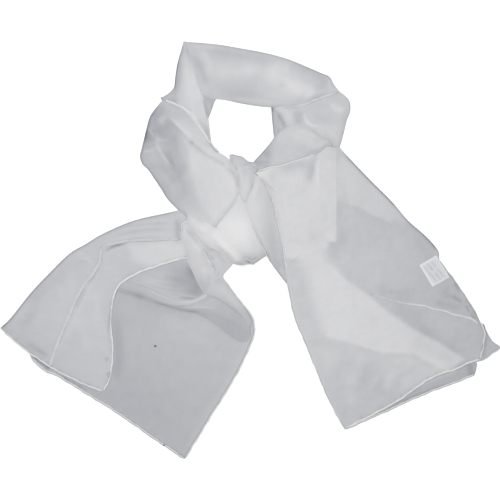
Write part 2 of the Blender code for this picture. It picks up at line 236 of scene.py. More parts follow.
SWAG = new_stretch("left_tail_swag", "roll", "soft", 4, 0.3, sections=[
    (-192, -41, -200, -60, 0.6, 1.2, 0.9),
    (-176, -45, -180, -67, 1.6, 1.3, 0.9),
    (-150, -55, -158, -75, 3, 1.4, 0.9),
    (-128, -65.5, -135, -84, 4, 1.5, 0.9),
    (-105, -73.5, -114, -90, 5, 1.6, 1.2),
    (-89, -74, -98, -94, 6, 1.7, 1.3),
    (-75, -68.5, -80, -99, 6, 1.8, 1.2),
    (-63, -59, -67, -105, 6, 1.8, 1.2),
    (-52, -51, -54, -113, 6, 1.7, 1.2),
    (-42, -48, -39, -126, 5, 1.3, 1.2),
    (-28, -59, -24, -136, 4, 1.2, 1.2),
    (-14, -80, -10, -142, 2, 1.2, 1.2),
    (-1, -96, 2, -136, 1, 1.2, 1.2),
], creases=SWAG_SHADOWS + [
    (-160, -53, -92, -78, 2.4, 0.6, 0.9, -4.7),
    # Painted highlight along the swag's crest, with a little real height.
    (-112, -76, -58, -58, 1.9, 0.8, 2.1, -8.8, 1, "start"),
    (-165, -63, -98, -83, 2.4, 0.4, 0.5, -3.5),
    (-120, -82, -76, -79, 1.3, -0.3, -0.6, -3.8),
    (-106, -87, -46, -87, 1.6, 0.4, 0.8, 0.6),
    (-84, -80, -54, -68, 3, -0.3, -0.6, -1),
], patches=SWAG_TROUGH_SHADE, edgings=[("left", 0.06, 0.42, 2.4, 0.9)])

STRAP = new_stretch("left_tail_strap", "roll", "soft", 6, 0.3, sections=[
    (-104, 41, -80, 46, 3, 3.4, 3),
    (-104, 24, -66, 28, 4, 3.2, 2.8),
    (-100, 6, -58, 8, 5, 3.2, 3.4),
    (-95, -14, -61, -11, 5, 3, 3.4),
    (-86, -34, -52, -28, 5, 2.3, 3.2),
    (-77, -53, -42, -42, 5, 1.8, 2.9),
    (-66, -68, -31, -54, 4, 1.7, 2.5),
    (-50, -74, -16.5, -74, 3, 1.5, 2.4),
    (-32, -85, -2, -92, 2, 1.2, 1.8),
    (-14, -100, 5, -108, 1, 1.2, 1.6),
    (-6, -116, 5, -118, 0.5, 1.2, 1.2),
], creases=[
    (-100, 36, -101, 8, 5, 0.6, 0.9),
    (-98, 26, -70, -10, 2.2, 0.5, 0.9, 2, 1.4),
    (-99, 34, -74, 2, 2, -0.5, -0.8, 1),
    (-94, 36, -68, 8, 7, 0, -0.9),
    (-92, 36, -80, 24, 1.8, 0.4, 0.7),
    (-84, 22, -72, 10, 1.8, 0.4, 0.7),
    (-86, 14, -64, -22, 7, 0.6, 0.9, 2),
    (-72, -24, -58, -40, 7, 0.2, 0.7),
    (-62, -30, -61, -58, 3, -0.4, -0.6, 0, 1.2),
    (-69, 0, -50, -36, 2.2, 0.5, 1.5),
    (-80, -42, -60, -58, 5, -0.3, -0.5),
    (-54, -48, -8, -96, 6, 0.6, 0.9, 4),
    (-48, -46, -6, -100, 3, 0.4, 0.7, 7),
], edgings=[
    ("left", 0.05, 0.62, 2, 0.7),
    ("left", 0.56, 0.95, 1.8, 0.9),
    ("right", 0.4, 0.92, 1.8, -1.4),
], seams=[
    (1.9, 4.2, [(-91, 44.5), (-97, 42.5), (-101.5, 39), (-102.5, 35), (-101.5, 29)]),
    (1.6, 5, [(-70, 0), (-66, -9), (-61, -17), (-56, -25)]),
])

UNDER_NECK_LEFT = new_stretch("neck_under_left", "roll", "roll", 0, 0.3, sections=[
    (-102, 270, -54, 255, 1, 2, 1.6),
    (-116, 241, -50, 232, 2, 1.2, 1.2),
    (-129, 230.5, -54, 220, 2, 1, 1.1),
    (-134, 228, -59, 206, 2, 0.9, 0.7),
    (-126, 216, -63, 194, 2, 1.3, 1),
    (-111, 192, -62, 178, 2, 1.3, 1.6),
    (-87, 168, -60, 160, 1, 1.3, 1.6),
], creases=[
    (-126, 230, -104, 226, 3, 0.6, 0.5, 2),
    (-62, 224, -60, 200, 2, 0.3, 0.6),
], edgings=[("left", 0.1, 0.7, 1.6, -1.6), ("right", 0.2, 1, 1.6, -0.8)])

UNDER_NECK_RIGHT = new_stretch("neck_under_right", "roll", "roll", 0, 0.3, sections=[
    (32, 228, 82, 228, 1, 0.8, 1.4),
    (32, 213, 75, 207, 2, 0.8, 1.4),
    (33.5, 192, 69, 186, 2, 0.9, 1.4),
    (36, 168, 69, 162, 1, 1.2, 1.6),
], creases=[
    (38, 210, 44, 176, 1.8, 0.4, 0.7),
    # Painted shadow along the left edge of the neck's right stretch, which lies over this one.
    (41, 207, 53, 184, 2, -0.4, -0.7, -1),
    (33, 213, 34, 209, 1.5, -0.4, -1.2, 0, 1, "none"),
    (40, 200, 44, 172, 1.4, -0.3, -0.6),
    (45, 196, 47, 174, 1.4, 0.3, 0.8),
], edgings=[("left", 0, 1, 1.8, -1.6)])

NECK_RIGHT = new_stretch("neck_right", "roll", "roll", 7, 0.5, sections=[
    (42, 228, 130, 241, 3, 2.6, 2.2),
    (36, 212, 144, 230, 5, 2.7, 2.4),
    (45.5, 202, 150, 220, 6, 2.5, 2.5),
    (52, 188, 150, 207, 7, 2.5, 2.4),
    (58, 176, 145, 194, 7, 3, 2.2),
    (74, 164, 141, 177, 6, 3, 2.4),
    (94, 155, 137, 162, 4, 2.4, 2.2),
    (115, 149, 134, 153, 2, 2.4, 2.2),
], creases=[
    (77, 207, 75, 186, 5, -1.2, 0),
    (80, 210, 108, 184, 2.4, 1.6, 2.3, -9, 1.5),
    (90, 208, 122, 198, 8, 0.6, -0.5, -8),
    (122, 222, 146, 206, 6, 1, 1.3, -2),
    (84, 211, 146, 199, 3, -0.4, -0.3, 12),
    (96, 186, 142, 184, 5, 0.8, 0.5, -2),
    (112, 178, 134, 166, 3, 0.6, 0.7, 3),
    (104, 172, 132, 158, 2.2, -0.4, -0.3, 3),
    (118, 174, 134, 160, 5, 0.3, 0.4),
    (52, 212, 60, 190, 4, 0.6, 0.5, 2),
    (46, 213, 76, 213, 2.4, -0.3, -0.9),
    (118, 222, 142, 206, 3, 0.5, 1.2, -3),
    (92, 200, 134, 190, 10, 0.4, -0.3),
], patches=[
    (-0.9, 7, [(64, 206), (72, 209), (81, 207), (83, 197), (80, 189), (72, 187), (66, 190)]),
    (0.5, 10, [(44, 212), (64, 210), (66, 192), (58, 188), (50, 196)]),
    (0.3, 16, [(88, 206), (142, 204), (136, 160), (98, 168)]),
], edgings=[("right", 0.1, 1, 1.8, -1.5), ("left", 0.2, 0.6, 2.4, 0.8)])

NECK_BACK = new_stretch("neck_back", "roll", "roll", 8, 0.7, sections=[
    (-99, 313, -96, 309, 2, 2.4, 2.4),
    (-90, 312, -83, 229, 4, 2, 2.2),
    (-75, 310.7, -64, 227, 6, 1.8, 2.5),
    (-45, 307.7, -39, 225, 8, 2, 2.1),
    (-12, 302, -12, 219.5, 9, 2, 1.9),
    (22, 295.7, 18, 215, 9, 2, 2.4),
    (56, 286.5, 48, 213.5, 9, 2, 2.8),
    (82, 276, 75, 216, 8, 1.9, 3),
    (105, 266, 96, 224, 7, 1.7, 2.6),
    (119, 260, 111, 230, 5, 1.8, 2.8),
    (125.5, 249, 122, 233, 3, 2.9, 3.4),
    (133, 239, 131, 236, 1, 2.8, 3),
], creases=[
    (-88, 296, -64, 240, 6, -0.8, -0.9, 4),
    (-76, 304, -60, 258, 6, 1, 0.9, 6, 1.2),
    (-96, 306, -40, 304, 4, 0.4, 0.7),
    (-70, 297, 50, 283, 8, -1, -0.3),
    (-66, 300, -20, 296, 6, -0.3, -0.25),
    (-70, 268, 30, 268, 14, 1.6, 1.1),
    (-60, 264, 0, 266, 7, 0, 0.3),
    (-20, 270, 52, 272, 11, 0.5, 0.7),
    (-52, 240, 22, 234, 9, -0.5, -0.45, -2),
    (16, 270, 78, 236, 18, 1.2, 1.9, 4),
    (34, 278, 62, 266, 8, 0.4, 0.8, 2),
    (60, 248, 102, 232, 10, 0.6, 2.1),
    (42, 249, 54, 245, 5, -0.4, -0.9),
    (30, 256, 46, 262, 5, 0.3, 0.6, 2),
    (52, 258, 62, 240, 4, 0.3, 0.8, 3),
    (66, 236, 80, 238, 6, 0.4, 0.9),
    (74, 224, 122, 238, 4, 0.5, 0.8, 2),
    (62, 282, 116, 254, 8, -0.9, -0.5, 4),
    (84, 266, 112, 246, 6, 0.5, 0.4, 3),
    (104, 262, 110, 240, 8, -0.3, -0.3, 2),
    (119, 258, 120, 238, 2.2, 0.5, 0.9),
    (-44, 229, 60, 218, 2, 0.2, 0.7),
    (-62, 227, 30, 219, 2, -0.2, 0.3),
], edgings=[
    ("left", 0.12, 0.98, 1.9, -1.6),
    ("right", 0.3, 0.55, 1.8, -1.5),
    ("right", 0.6, 1, 3.2, 1.6),
], hems=[("right", 0.62, 1, 1.7, 4.2)])

NECK_LEFT = new_stretch("neck_left", "roll", "soft", 7, 0.3, sections=[
    (-100, 313, -96, 310, 1, 2.6, 2.2),
    (-103, 300, -90, 296, 2, 1.1, 2.2),
    (-108, 283, -84, 281, 3, 0.8, 4),
    (-111, 267, -80, 265, 4, 0.7, 5.2),
    (-113, 249, -76, 249, 5, 0.6, 6.2),
    (-114, 232, -70, 232, 5, 0.9, 7),
    (-111, 213, -65, 213, 5, 2, 5.4),
    (-99, 195, -62, 195, 5, 3.4, 4.8),
    (-82, 177, -60, 178, 4, 3.2, 3.2),
    (-70, 162, -58, 160, 2, 2.6, 2.6),
], creases=[
    (-103, 292, -108, 232, 4, -0.3, -0.6, 0, 1.4),
    (-97, 300, -99, 232, 5, 0.6, 0.4, 2, 1.2),
    (-90, 290, -80, 240, 5, 0.4, 0.5, 0, 1.4),
    (-108, 214, -84, 205, 3, -0.4, -0.7, 2),
    (-80, 200, -60, 168, 4, -0.5, -1.2, 2),
    (-70, 226, -66, 204, 3, -0.3, -0.6),
], edgings=[("left", 0.03, 0.5, 1.8, -2)])

NECK_LOWER = new_stretch("neck_right_lower", "roll", "roll", 7, 0.4, sections=[
    (123, 166, 126, 142, 1, 2.2, 2.4),
    (108, 172, 110, 130, 4, 2.6, 2.4),
    (93, 183, 92, 118, 5, 2.8, 2.4),
    (81, 189, 74, 110, 7, 2.8, 2.4),
    (69, 190, 58, 106, 8, 2.9, 2.4),
    (56, 187, 43, 104, 8, 2.8, 2.4),
    (43, 178, 31, 104, 8, 2.3, 2.4),
    (30, 160, 21, 105, 7, 1.2, 2),
    (18, 146, 13, 108, 5, 0.9, 2),
    (6, 133, 8, 116, 2, 0.9, 2),
], creases=[
    (60, 172, 100, 156, 12, 1.2, 0.8, 3),
    (84, 158, 112, 154, 5, 0.3, 0.6),
    (34, 156, 96, 140, 8, -0.8, -0.1, -2),
    (18, 138, 44, 156, 9, -0.3, -0.4),
    (10, 126, 34, 127, 5, 0.3, -0.4, 0, 1, "end"),
    (70, 180, 104, 166, 4, 0.5, 0.6, 2),
    (78, 141, 101, 150, 2, -0.5, -0.8, -1),
    (8, 132, 33, 131, 2.2, -0.4, -0.7, 0, 1, "end"),
    (4, 117, 22, 124, 2.4, 0.2, 1.5),
    (20, 140, 34, 144, 7, -0.3, -0.4),
    (94, 141, 119, 160, 2.4, -0.6, -0.9, 1),
    (100, 154, 118, 163, 3, 0.4, 0.6),
], edgings=[("left", 0.5, 1, 3, -1.4), ("left", 0.12, 0.5, 1.8, 0.6)])

KNOT_CORE = new_stretch("knot_core", "roll", "roll", 8, 0.3, sections=[
    (-36, 119, 18, 120, 6, 4, 3),
    (-54, 96, 26, 96, 14, 5, 4),
    (-64, 69, 26, 63, 19, 5.4, 4.3),
    (-62, 39, 30, 33, 20, 9, 7),
    (-51, 15, 30, 12, 19, 9, 5),
    (-36, -6, 27, -5, 15, 6.2, 3.2),
    (-22, -20, 15, -15, 8, 3.4, 2.2),
    (-6, -22, 5, -22, 1.5, 2.4, 2.4),
], creases=[
    (-22, 50, -10, 0, 16, 0.6, 2),
    (-18, 62, 2, -16, 7, 1, 0.4, 4),
    (-32, -11, 14, -9, 7, -0.6, -1.3),
    # Painted shadow that the front-left stretch's right edge casts on the core.
    (-18, 82, -48, 34, 3.5, -0.2, -3),
    (-30, -16, -12, -14, 2, 0.5, 0.8),
    (-13, -13, -5, -9, 1.3, 0.3, -1.3),
    (-7, -9, 4, -15, 1.3, 0.3, -1.3),
    (2, -15, 12, -9, 1.3, 0.3, -1.3),
], tugs=[(-4, -22, 0, 4, 4)], edgings=[
    ("end", 0, 1, 3, -1.1),
    ("right", 0.62, 1, 3, -1.8),
])

KNOT_TUCK = new_stretch("knot_tuck", "roll", "roll", 6, 0.3, sections=[
    (-31, 141, 8, 132, 2, 2, 1.9),
    (-29, 128, 12, 121, 3, 2.6, 2.5),
    (-22, 112, 10, 104, 4, 2.9, 2.8),
    (-18, 93, 4, 86, 3, 3.8, 3.8),
    (-15, 76, -5, 68, 1, 3.4, 3.4),
], creases=[
    (-26, 143, -26, 122, 1.6, -0.4, -0.9, -1),
    (-20, 142, -12, 90, 3, 0.4, 0.6, 2),
    (-22, 118, -12, 84, 2, -0.4, -0.8, 2),
    (-17, 122, 4, 127, 1.6, 0.4, 0.9, -1),
    (-12, 127, 6, 128, 1.4, -0.2, -0.5),
    (-2, 118, -6, 84, 4, 0.4, 0.5),
    (5, 104, 0, 84, 2, 0.2, -0.4),
], tugs=[(-25, 142, 0, 4, 6), (-14, 139, 1, 3.5, 7), (-1, 133, 0, -2, 7)], edgings=[
    ("start", 0, 1, 2, -1.3),
])

FRONT_LEFT = new_stretch("front_left", "roll", "soft", 7, 0.5, sections=[
    (-134, 222, -128, 225, 1, 1.2, 2.4),
    (-141, 213, -112, 219, 3, 0.9, 2),
    (-150, 200, -92, 207, 5, 0.7, 2),
    (-155, 183, -80, 193, 7, 0.6, 2.6),
    (-159, 166, -69, 175, 8, 0.6, 3.6),
    (-163, 150, -60, 161, 9, 0.8, 4),
    (-165, 140, -50, 149, 9, 0.9, 4.2),
    (-161.5, 129, -36, 140, 9, 1, 4.2),
    (-152.5, 120, -24, 128, 9, 1, 3.8),
    (-143, 106, -17, 110, 9, 0.9, 3.2),
    (-133.5, 92, -14, 92, 8, 0.9, 2.8),
    (-123.5, 76, -16, 78, 8, 1, 3),
    (-110, 62, -28, 62, 7, 1.6, 3.6),
    (-98, 50, -38, 48, 4, 2.8, 3.4),
    (-88, 42, -49, 34, 1.5, 3.4, 3.2),
    (-86, 28, -58, 22, 0.5, 3.4, 3.2),
], creases=[
    (-126, 200, -86, 160, 1.8, -0.5, -1, 0, 2, "start"),
    (-88, 162, -40, 130, 1.8, -0.6, -1.5, -3, 2, "none"),
    (-40, 125, -17, 96, 2.2, -0.8, -1.8, 6, 1.6, "start"),
    (-122, 200, -84, 162, 4, 0.5, 1.1, 0, 0.3),
    (-84, 164, -40, 136, 4, 0.5, 0.6, -3, 0.3),
    (-118, 196, -82, 164, 1.6, 0.3, 0.6),
    (-84, 166, -36, 137, 1.6, 0.3, 0.5, -3),
    (-42, 116, -24, 84, 4, 0.4, 0.5, 4),
    (-142, 166, -115, 122, 1.8, 1, 1.1, -2, 1.8),
    (-138, 164, -112, 124, 2.2, -0.4, -0.5, -2, 1.6),
    (-161, 147, -144, 150, 1.8, 0.6, 0.9, 0, 1.4),
    (-152, 184, -143, 167, 1.6, 0.5, 1, 0, 1.4),
    (-144, 168, -120, 164, 1.6, 0.5, 0.8, -1, 1.4),
    (-152, 186, -158, 158, 5, -0.8, -0.2),
    (-142, 200, -134, 176, 5, -0.5, -0.25),
    (-130, 190, -136, 200, 6, 0.5, 0.5),
    (-112, 184, -108, 124, 8, -0.8, -0.5),
    (-104, 120, -92, 74, 5, -0.4, -0.5, -2),
    (-132, 118, -108, 70, 5, 0.6, 0.4, 2),
    (-93, 150, -52, 60, 18, 1.6, 0, 6),
    (-100, 60, -94, 48, 2, -0.4, -1.2),
    (-74, 46, -52, 34, 4, 0.3, 0.8),
], patches=[
    (1.6, 14, [(-88, 150), (-62, 140), (-40, 126), (-22, 110), (-17, 92), (-22, 76), (-40, 56),
        (-52, 40), (-62, 52), (-80, 84), (-90, 120)]),
    (0.6, 20, [(-116, 190), (-90, 200), (-84, 160), (-96, 130), (-104, 160)]),
    (-0.6, 10, [(-142, 148), (-118, 146), (-106, 102), (-120, 100), (-134, 124)]),
    (-0.5, 8, [(-158, 178), (-144, 180), (-140, 156), (-150, 148), (-160, 156)]),
    (0.6, 10, [(-50, 100), (-22, 106), (-18, 92), (-24, 74), (-42, 68)]),
    (-0.6, 8, [(-146, 216), (-130, 218), (-126, 206), (-134, 198), (-146, 200)]),
    (-0.4, 10, [(-160, 210), (-140, 206), (-134, 186), (-140, 168), (-148, 162), (-166, 166)]),
    (-1.15, 12, [(-139, 178), (-124, 194), (-102, 176), (-92, 152), (-93, 118), (-106, 108),
        (-120, 128)]),
], edgings=[
    ("left", 0.02, 0.9, 3, -1.4),
    ("right", 0.5, 1, 2, -0.9),
    ("right", 0, 0.4, 3.5, 1),
], hems=[("right", 0, 0.42, 2, 5.8)])

KNOT_BAND = new_stretch("knot_band", "roll", "soft", 6, 0.3, sections=[
    (-98, 42, -92, 56, 1, 2.8, 3.2),
    (-86, 28, -72, 46, 3, 4, 5.8),
    (-70, 10, -51, 33, 3, 5.4, 8),
    (-54, 1, -33, 15, 3, 9.5, 11),
    (-38, -8, -17, -2, 3, 9, 9),
    (-26, -20, -6, -14, 3, 3.2, 3.2),
    (-14, -23, 0, -21, 1, 2, 2.4),
], creases=[
    (-20, -21, -6, -15, 3, -0.3, -0.6, 0, 1, "none"),
    (-34, -14, -16, -18, 1.8, 0.3, 0.8),
    (-18, -6, -8, -17, 1.6, -0.3, -0.7),
    (-86, 38, -50, 6, 2, -0.4, -0.9, -2),
    (-82, 42, -40, 10, 3, 0.6, 0.8, -2),
    (-66, 30, -30, 2, 2.2, -0.3, -0.7, -1),
    (-50, 10, -34, -10, 1.8, 0.4, 1.2, 1),
    (-44, 12, -28, -6, 1.6, -0.3, -0.8, 1),
    (-74, 13, -52, 4, 1.8, 0.5, 0.9, -2),
    (-70, 14, -64, 4, 1.8, -0.3, -1.2),
    (-78, 22, -66, 10, 1.4, -0.3, -1.1),
    (-74, 25, -56, 9, 1.6, 0.3, 0.8),
    (-60, 22, -44, 8, 1.4, -0.2, -0.7),
    (-38, 16, -22, 1, 1.8, 0.4, 0.7, 1),
    (-34, 10, -20, -4, 1.8, -0.3, -0.9),
    (-46, 0, -30, -14, 4, 0.4, 0.8),
], edgings=[("left", 0.1, 0.8, 1.3, -1.6), ("right", 0.5, 0.95, 1.4, -2.4)])

GATHER = new_stretch("right_tail_gather", "roll", "roll", 10, 0.3, sections=[
    (27, 102, 120, 135, 4, 2, 2),
    (45, 63, 132, 82, 7, 2, 2),
    (56, 15, 132, 18, 6, 2, 2),
    (63, -18, 108, -9, 3, 2, 2),
])

UNDER_PANEL = new_stretch("right_tail_under", "flat", "flat", 0, 0.3, sections=[
    (72, -24, 114, -21, 0, 1, 1),
    (68, -75, 168, -60, 0, 1, 1),
    (90, -150, 240, -117, 0, 1, 1),
    (117, -213, 300, -153, 0, 1, 1),
    (130, -242, 337, -167, 0, 1, 0.8),
    (136, -256, 339.5, -177, 0, 1, 0.8),
    (142, -269, 337, -187, 0, 1, 0.7, 1),
], creases=[
    (200, -240, 312, -196, 2.4, -0.4, -0.9, 2),
    (330, -174, 332, -186, 6, -0.4, -0.9, 0, 1, "none"),
    (240, -210, 322, -176, 3, 0.4, 0.6),
], tugs=[(258, -221, 0, 2, 44)], hems=[("end", 0, 1, 1.4, 6.5)])

UNDER_CORNER = new_stretch("right_tail_corner", "flat", "flat", 6, 0.3, sections=[
    (320, -95, 351.5, -112, 0, 1, 0.6),
    (308, -114, 355, -122, 0, 1, 0.6),
    (303, -135, 364, -137, 0, 1, 0.7),
    (309, -153, 375, -146, 0, 1, 1),
    (327, -165, 362, -156, 0, 1, 1.2),
    (339, -168, 348, -166, 0, 1, 1.2),
], creases=[
    (353, -124, 351, -158, 3, -0.3, -0.8, 0, 1, "none"),
    (350, -112, 353, -118, 2, -0.3, -1.2, 0, 1, "none"),
    (356, -138, 368, -145, 2, 0.3, 0.6),
], hems=[("right", 0.62, 1, 1.4, 8)])

SIDE_STRIP = new_stretch("right_tail_side", "roll", "soft", 7, 0.3, sections=[
    (5, 114, 15, 115, 1, 2.8, 3),
    (4, 96, 44, 104, 3, 3.9, 3.6),
    (-7, 68, 62, 80, 5, 4.3, 3.4),
    (-1, 44, 70, 50, 5, 4.2, 3),
    (10, 20, 74, 24, 5, 3.1, 2.2),
    (21, 0, 76, -4, 4, 2.4, 1.4),
    (32, -20, 76, -26, 3, 1.8, 0.8),
    (45, -38, 76, -44, 2, 1.2, 0.8),
    (56, -52, 70, -58, 1, 1.2, 0.8),
], creases=[
    (12, 104, 16, 40, 6, 0.6, 0.6, -2),
    (24, 92, 42, 34, 5, -0.3, -0.5, 5),
    (20, 84, 26, 40, 6, 0.3, 0.4),
    (12, 30, 26, -6, 4, 0.3, 0.5),
    (34, -10, 46, -30, 5, -0.4, -0.5),
    (44, -24, 58, -50, 4, 0.3, 0.7),
], edgings=[("left", 0.62, 1, 2.4, -1.6), ("left", 0, 0.34, 2.2, -1.3)], hems=[
    ("left", 0.42, 0.74, 1, 5.2),
])

TOP_PANEL = new_stretch("right_tail_top", "flat", "flat", 10, 0.9, sections=[
    (8, 114, 134, 154, 1, 2.6, 2),
    (18, 103, 155, 131, 3, 2.2, 1.8),
    (29, 87, 183, 102, 3, 1.9, 1.6),
    (37, 62, 213, 72, 3, 1.9, 1.5),
    (43, 36, 237, 44, 3, 1.9, 1.4),
    (49, 9, 264, 20, 3, 1.9, 1.4),
    (53, -18, 282, -1, 3, 2.5, 1.3),
    (56, -46, 285, -16, 3, 2.6, 1.2),
    (60.5, -72, 301, -38, 3, 2.6, 1.1),
    (66, -98, 318, -62, 3, 2.5, 1),
    (80.5, -134, 333.5, -86, 3, 2.6, 1),
    (95.5, -170, 345, -108, 2, 2.4, 1.1),
    (110, -206, 352, -123, 2, 2, 1.2),
    (126, -240, 351, -136, 2, 1.8, 1.2),
    (142, -268, 345, -164, 1, 1.8, 1.5),
], creases=[
    (98, 150, 84, 94, 8.5, -1, -2.3, 2),
    (100, 152, 92, 104, 3.5, -0.8, -0.7, 1),
    (102, 144, 104, 90, 4.5, 1.4, 1.6, -2),
    (110, 134, 96, 60, 10, 0.8, 0.3),
    # Painted shade under the hem at the panel's start.
    (32, 120, 96, 133, 7, -0.6, -2.5, 0, 1.6),
    (8, 115, 36, 119, 4.5, 0.3, 2.4, 0, 1, "end"),
    (10, 112, 40, 83, 2.2, -0.5, -1.9, 1),
    (58, -24, 82, -6, 2.2, -0.6, -0.7, 3, 1.6),
    (60, -20, 84, -1, 3, 0.6, 0.3, 3),
    (66, 100, 68, 84, 3, 0.4, 0.5),
    (50, 84, 66, 30, 12, 0.8, 0.4),
    (110, 24, 130, 18, 5, 0.3, 1),
    (88, 22, 104, 4, 7, -0.3, -0.5),
    (112, 76, 106, 40, 6, 0.5, -0.4),
    (137, 26, 148, 2, 5, -0.4, -0.1),
    (184, -52, 250, -72, 9, -0.4, -0.5, -2),
    (208, -76, 288, -146, 14, -0.4, -0.5, 4, 0.8),
    (250, -100, 330, -110, 12, 0.4, 0.3, -4),
    (256, 26, 270, -6, 10, -0.4, -0.2),
    (300, -68, 321, -79, 2.4, -0.6, -1),
    (323, -82, 330, -95, 2, -0.6, -1),
    (305, -48, 316, -66, 2, -0.5, -0.9),
    (312, -58, 326, -74, 1.8, 0.4, 0.8),
    (330, -94, 340, -106, 1.8, -0.5, -0.9),
    (272, -78, 318, -88, 5, -0.4, -0.6),
    (290, -56, 300, -76, 7, -0.3, -0.4),
    (120, -70, 160, -86, 14, 0.6, 0.4, 6),
    (168, -84, 186, -120, 5, 0.6, -0.5, 3),
    (141, -160, 126, -198, 6, -0.3, -0.3),
    (166, -156, 150, -208, 6, 0.4, 0.35),
    (182, -172, 152, -222, 7, -0.4, -0.35),
    (196, -178, 176, -222, 5, 0.3, 0.25),
    (222, -180, 204, -218, 6, 0.6, 0.45, -6),
    (232, -180, 224, -214, 6, -0.5, -0.35, -5),
    (206, -182, 190, -222, 8, -0.3, -0.3, -2),
    (146, -208, 154, -232, 8, 0.6, 0.3),
    (252, -160, 300, -172, 9, 0.3, 0.3),
], patches=[
    (2.35, 3, [(0, 120), (120, 168), (129, 150), (129, 74), (129, 13), (118, 12), (90, 6), (20, 6)],
        [(9, [(20, 20), (108, 20), (118, 8), (109, -8), (142, -43), (180, -71), (212, -97),
        (244, -119), (281, -138), (322, -164), (296, -182), (264, -166), (246, -155), (200, -153),
        (160, -141), (128, -132), (116, -122), (108, -90), (98, -46), (84, -16), (48, -10)]), (4,
        [(150, -110), (200, -124), (240, -138), (250, -153), (200, -153.5), (160, -142),
        (128, -133.5), (112, -128), (126, -112)]), (26, [(40, 20), (100, 20), (120, -20),
        (160, -80), (180, -130), (160, -138), (124, -129), (108, -118), (98, -86), (88, -44),
        (72, -8), (44, -2)])]),
    (1.2, 7, [(129, 172), (218, 84), (212, 41), (185, 52), (165, 63), (145, 70), (129, 75)], [(22,
        [(129, 172), (262, 64), (250, 42), (214, 46), (190, 60), (160, 80)])]),
    (-1, 20, [(90, 152), (120, 168), (136, 160), (132, 134), (104, 138)]),
    (-0.9, 36, [(240, -120), (300, -146), (326, -176), (296, -182), (244, -150)]),
    (0.5, 12, [(234, -154), (262, -160), (292, -174), (282, -184), (250, -178), (232, -168)]),
    (0.9, 36, [(200, -166), (246, -158), (300, -178), (290, -196), (236, -212), (196, -196)]),
    (0.25, 30, [(130, 66), (230, 30), (262, -20), (220, -60), (176, -56), (130, -10)]),
    (0.5, 14, [(131, 76), (131, 34), (150, 38), (156, 62)]),
    (0.45, 12, [(131, 150), (131, 82), (152, 76), (162, 96), (144, 130)]),
    (0.5, 24, [(104, -150), (136, -146), (138, -176), (112, -182)]),
    (0.45, 18, [(148, -144), (200, -152), (240, -156), (238, -172), (190, -172), (150, -164)]),
    (0.4, 16, [(140, -186), (166, -186), (168, -228), (148, -232)]),
    (-0.6, 9, [(80, 33), (114, 33), (118, 15), (86, 13)]),
], tugs=[
    (116, 150, -1, 6, 12),
    (23, 119, 0, 3.4, 16),
    (272, -201, 0, 10, 42),
    (326, -172, 0, 3, 14),
], edgings=[
    ("left", 0.42, 1, 2, 0.8),
    ("start", 0.68, 0.84, 1.8, -0.8),
    ("right", 0.02, 0.44, 5, -1.2),
    ("right", 0.02, 0.44, 2, -1.5),
    ("right", 0.01, 0.24, 4, -1.3),
    ("right", 0.44, 0.86, 3, -0.4, 0.7),
    ("end", 0.02, 1, 5, -0.2, 0.5),
], hems=[
    ("start", 0.04, 0.72, 1.3, 5.4),
    ("end", 0, 1, 1.5, 6.5),
    ("left", 0.1, 0.48, 1.3, 4.6),
    ("left", 0.46, 1, 0.8, 3.5),
    ("right", 0.5, 0.78, 0.8, 3),
    ("right", 0.78, 1, 1.2, 6),
], seams=[
    (1.3, 2.8, [(180, -66), (200, -71), (220, -77.5), (240, -81)]),
    (1.5, 4.2, [(232, -80), (258, -83), (275, -88), (290, -91), (305, -96), (320, -100),
        (334, -104), (343, -112)]),
])

# The short marks on the label: each from one plan point to another, and its layers.
LABEL_MARKS = [
    (261, -25, 266, -31, -2), (269, -35, 279, -46, -2), (267, -22, 274, -30, -2.4),
    (278, -35, 285, -43, -2.4), (273, -19, 277, -24, -2), (281, -29, 290, -39, -2.2),
]
CARE_LABEL = new_stretch("care_label", "flat", "flat", 4, 0.1, sections=[
    (254, -23, 280, -7.5, 0, 2, 2),
    (273.5, -55.5, 300, -41, 0, 2, 2),
], creases=[
    (*mark[:4], 1.4, 0, mark[4], 0, 1, "none") for mark in LABEL_MARKS
], edgings=[
    (edge, 0, 1, 2.2, 3) for edge in ("left", "right", "start", "end")
])

# Small dark flecks of lint: where each lies, its length and its width.
Fleck = namedtuple("Fleck", "x y length width")
FLECKS = [Fleck(-142, -144, 3.4, 2.4), Fleck(-129, -292.5, 3.2, 2.2)]


# The fixed numbers of the surfaces. Lengths are millimetres unless a comment says otherwise.
FILL = 0.6  # how far apart the points entered on the height map are, in its own pitches
NEAREST = 0.1  # a reach that takes in only the map's nearest points
CREASE_FADE = 0.3  # share of a crease over which an end dies away
EDGING_FADE = 0.08  # share of an edging over which an end dies away
ROLL_POWER, FLAT_POWER = 2.4, 4  # how square a rolled and a flat edge's crown is
TINY = 1e-9  # stands in for a length of 0 where something is divided by it

# Unevenness: how many waves, the range of their lengths as shares of the one asked for, how
# many radians they are bent by, at what share of their own rate, and what divides the sum.
WAVES, WAVE_LENGTHS, WAVE_BEND, BEND_RATE, WAVE_SUM = 7, (0.6, 1.7), 1.2, 0.6, 4

# Puckers: the way in a radian of the ripple, of its drift and of its swell, how far it
# drifts in radians, the share of its depth that swells, and how much painted shade and light
# follow its ripple in the layers.
PUCKER_WAY, DRIFT_WAY, SWELL_WAY = 1.9, 7.1, 11.3
PUCKER_DRIFT, PUCKER_SWELL, PUCKER_SHADE = 1.5, 0.4, 0.6

# The grid: the shares of the outer edge and of the greatest width that its points are
# spaced for, and the share of a step at which a flat sheet's second row and column lie.
OUTER_SHARE, WIDTH_SHARE, RIM_SHARE = 0.8, 0.9, 0.12

# How a stretch rests: the reach at its edges, the way in from them until it bridges with
# its whole reach, and how far a closed and a flat edge sink in, over what way.
EDGE_REACH, BRIDGE_WAY = 1.3, 12
CLOSED_SINK, FLAT_SINK, SINK_WAY = 1.2, 0.5, 5
FLOOR_REST = 0.3  # what rests no higher than this lies on the floor itself
CLEARANCE, LOWEST_REST = 0.15, 0.1  # above the cloth below, and at least above the floor

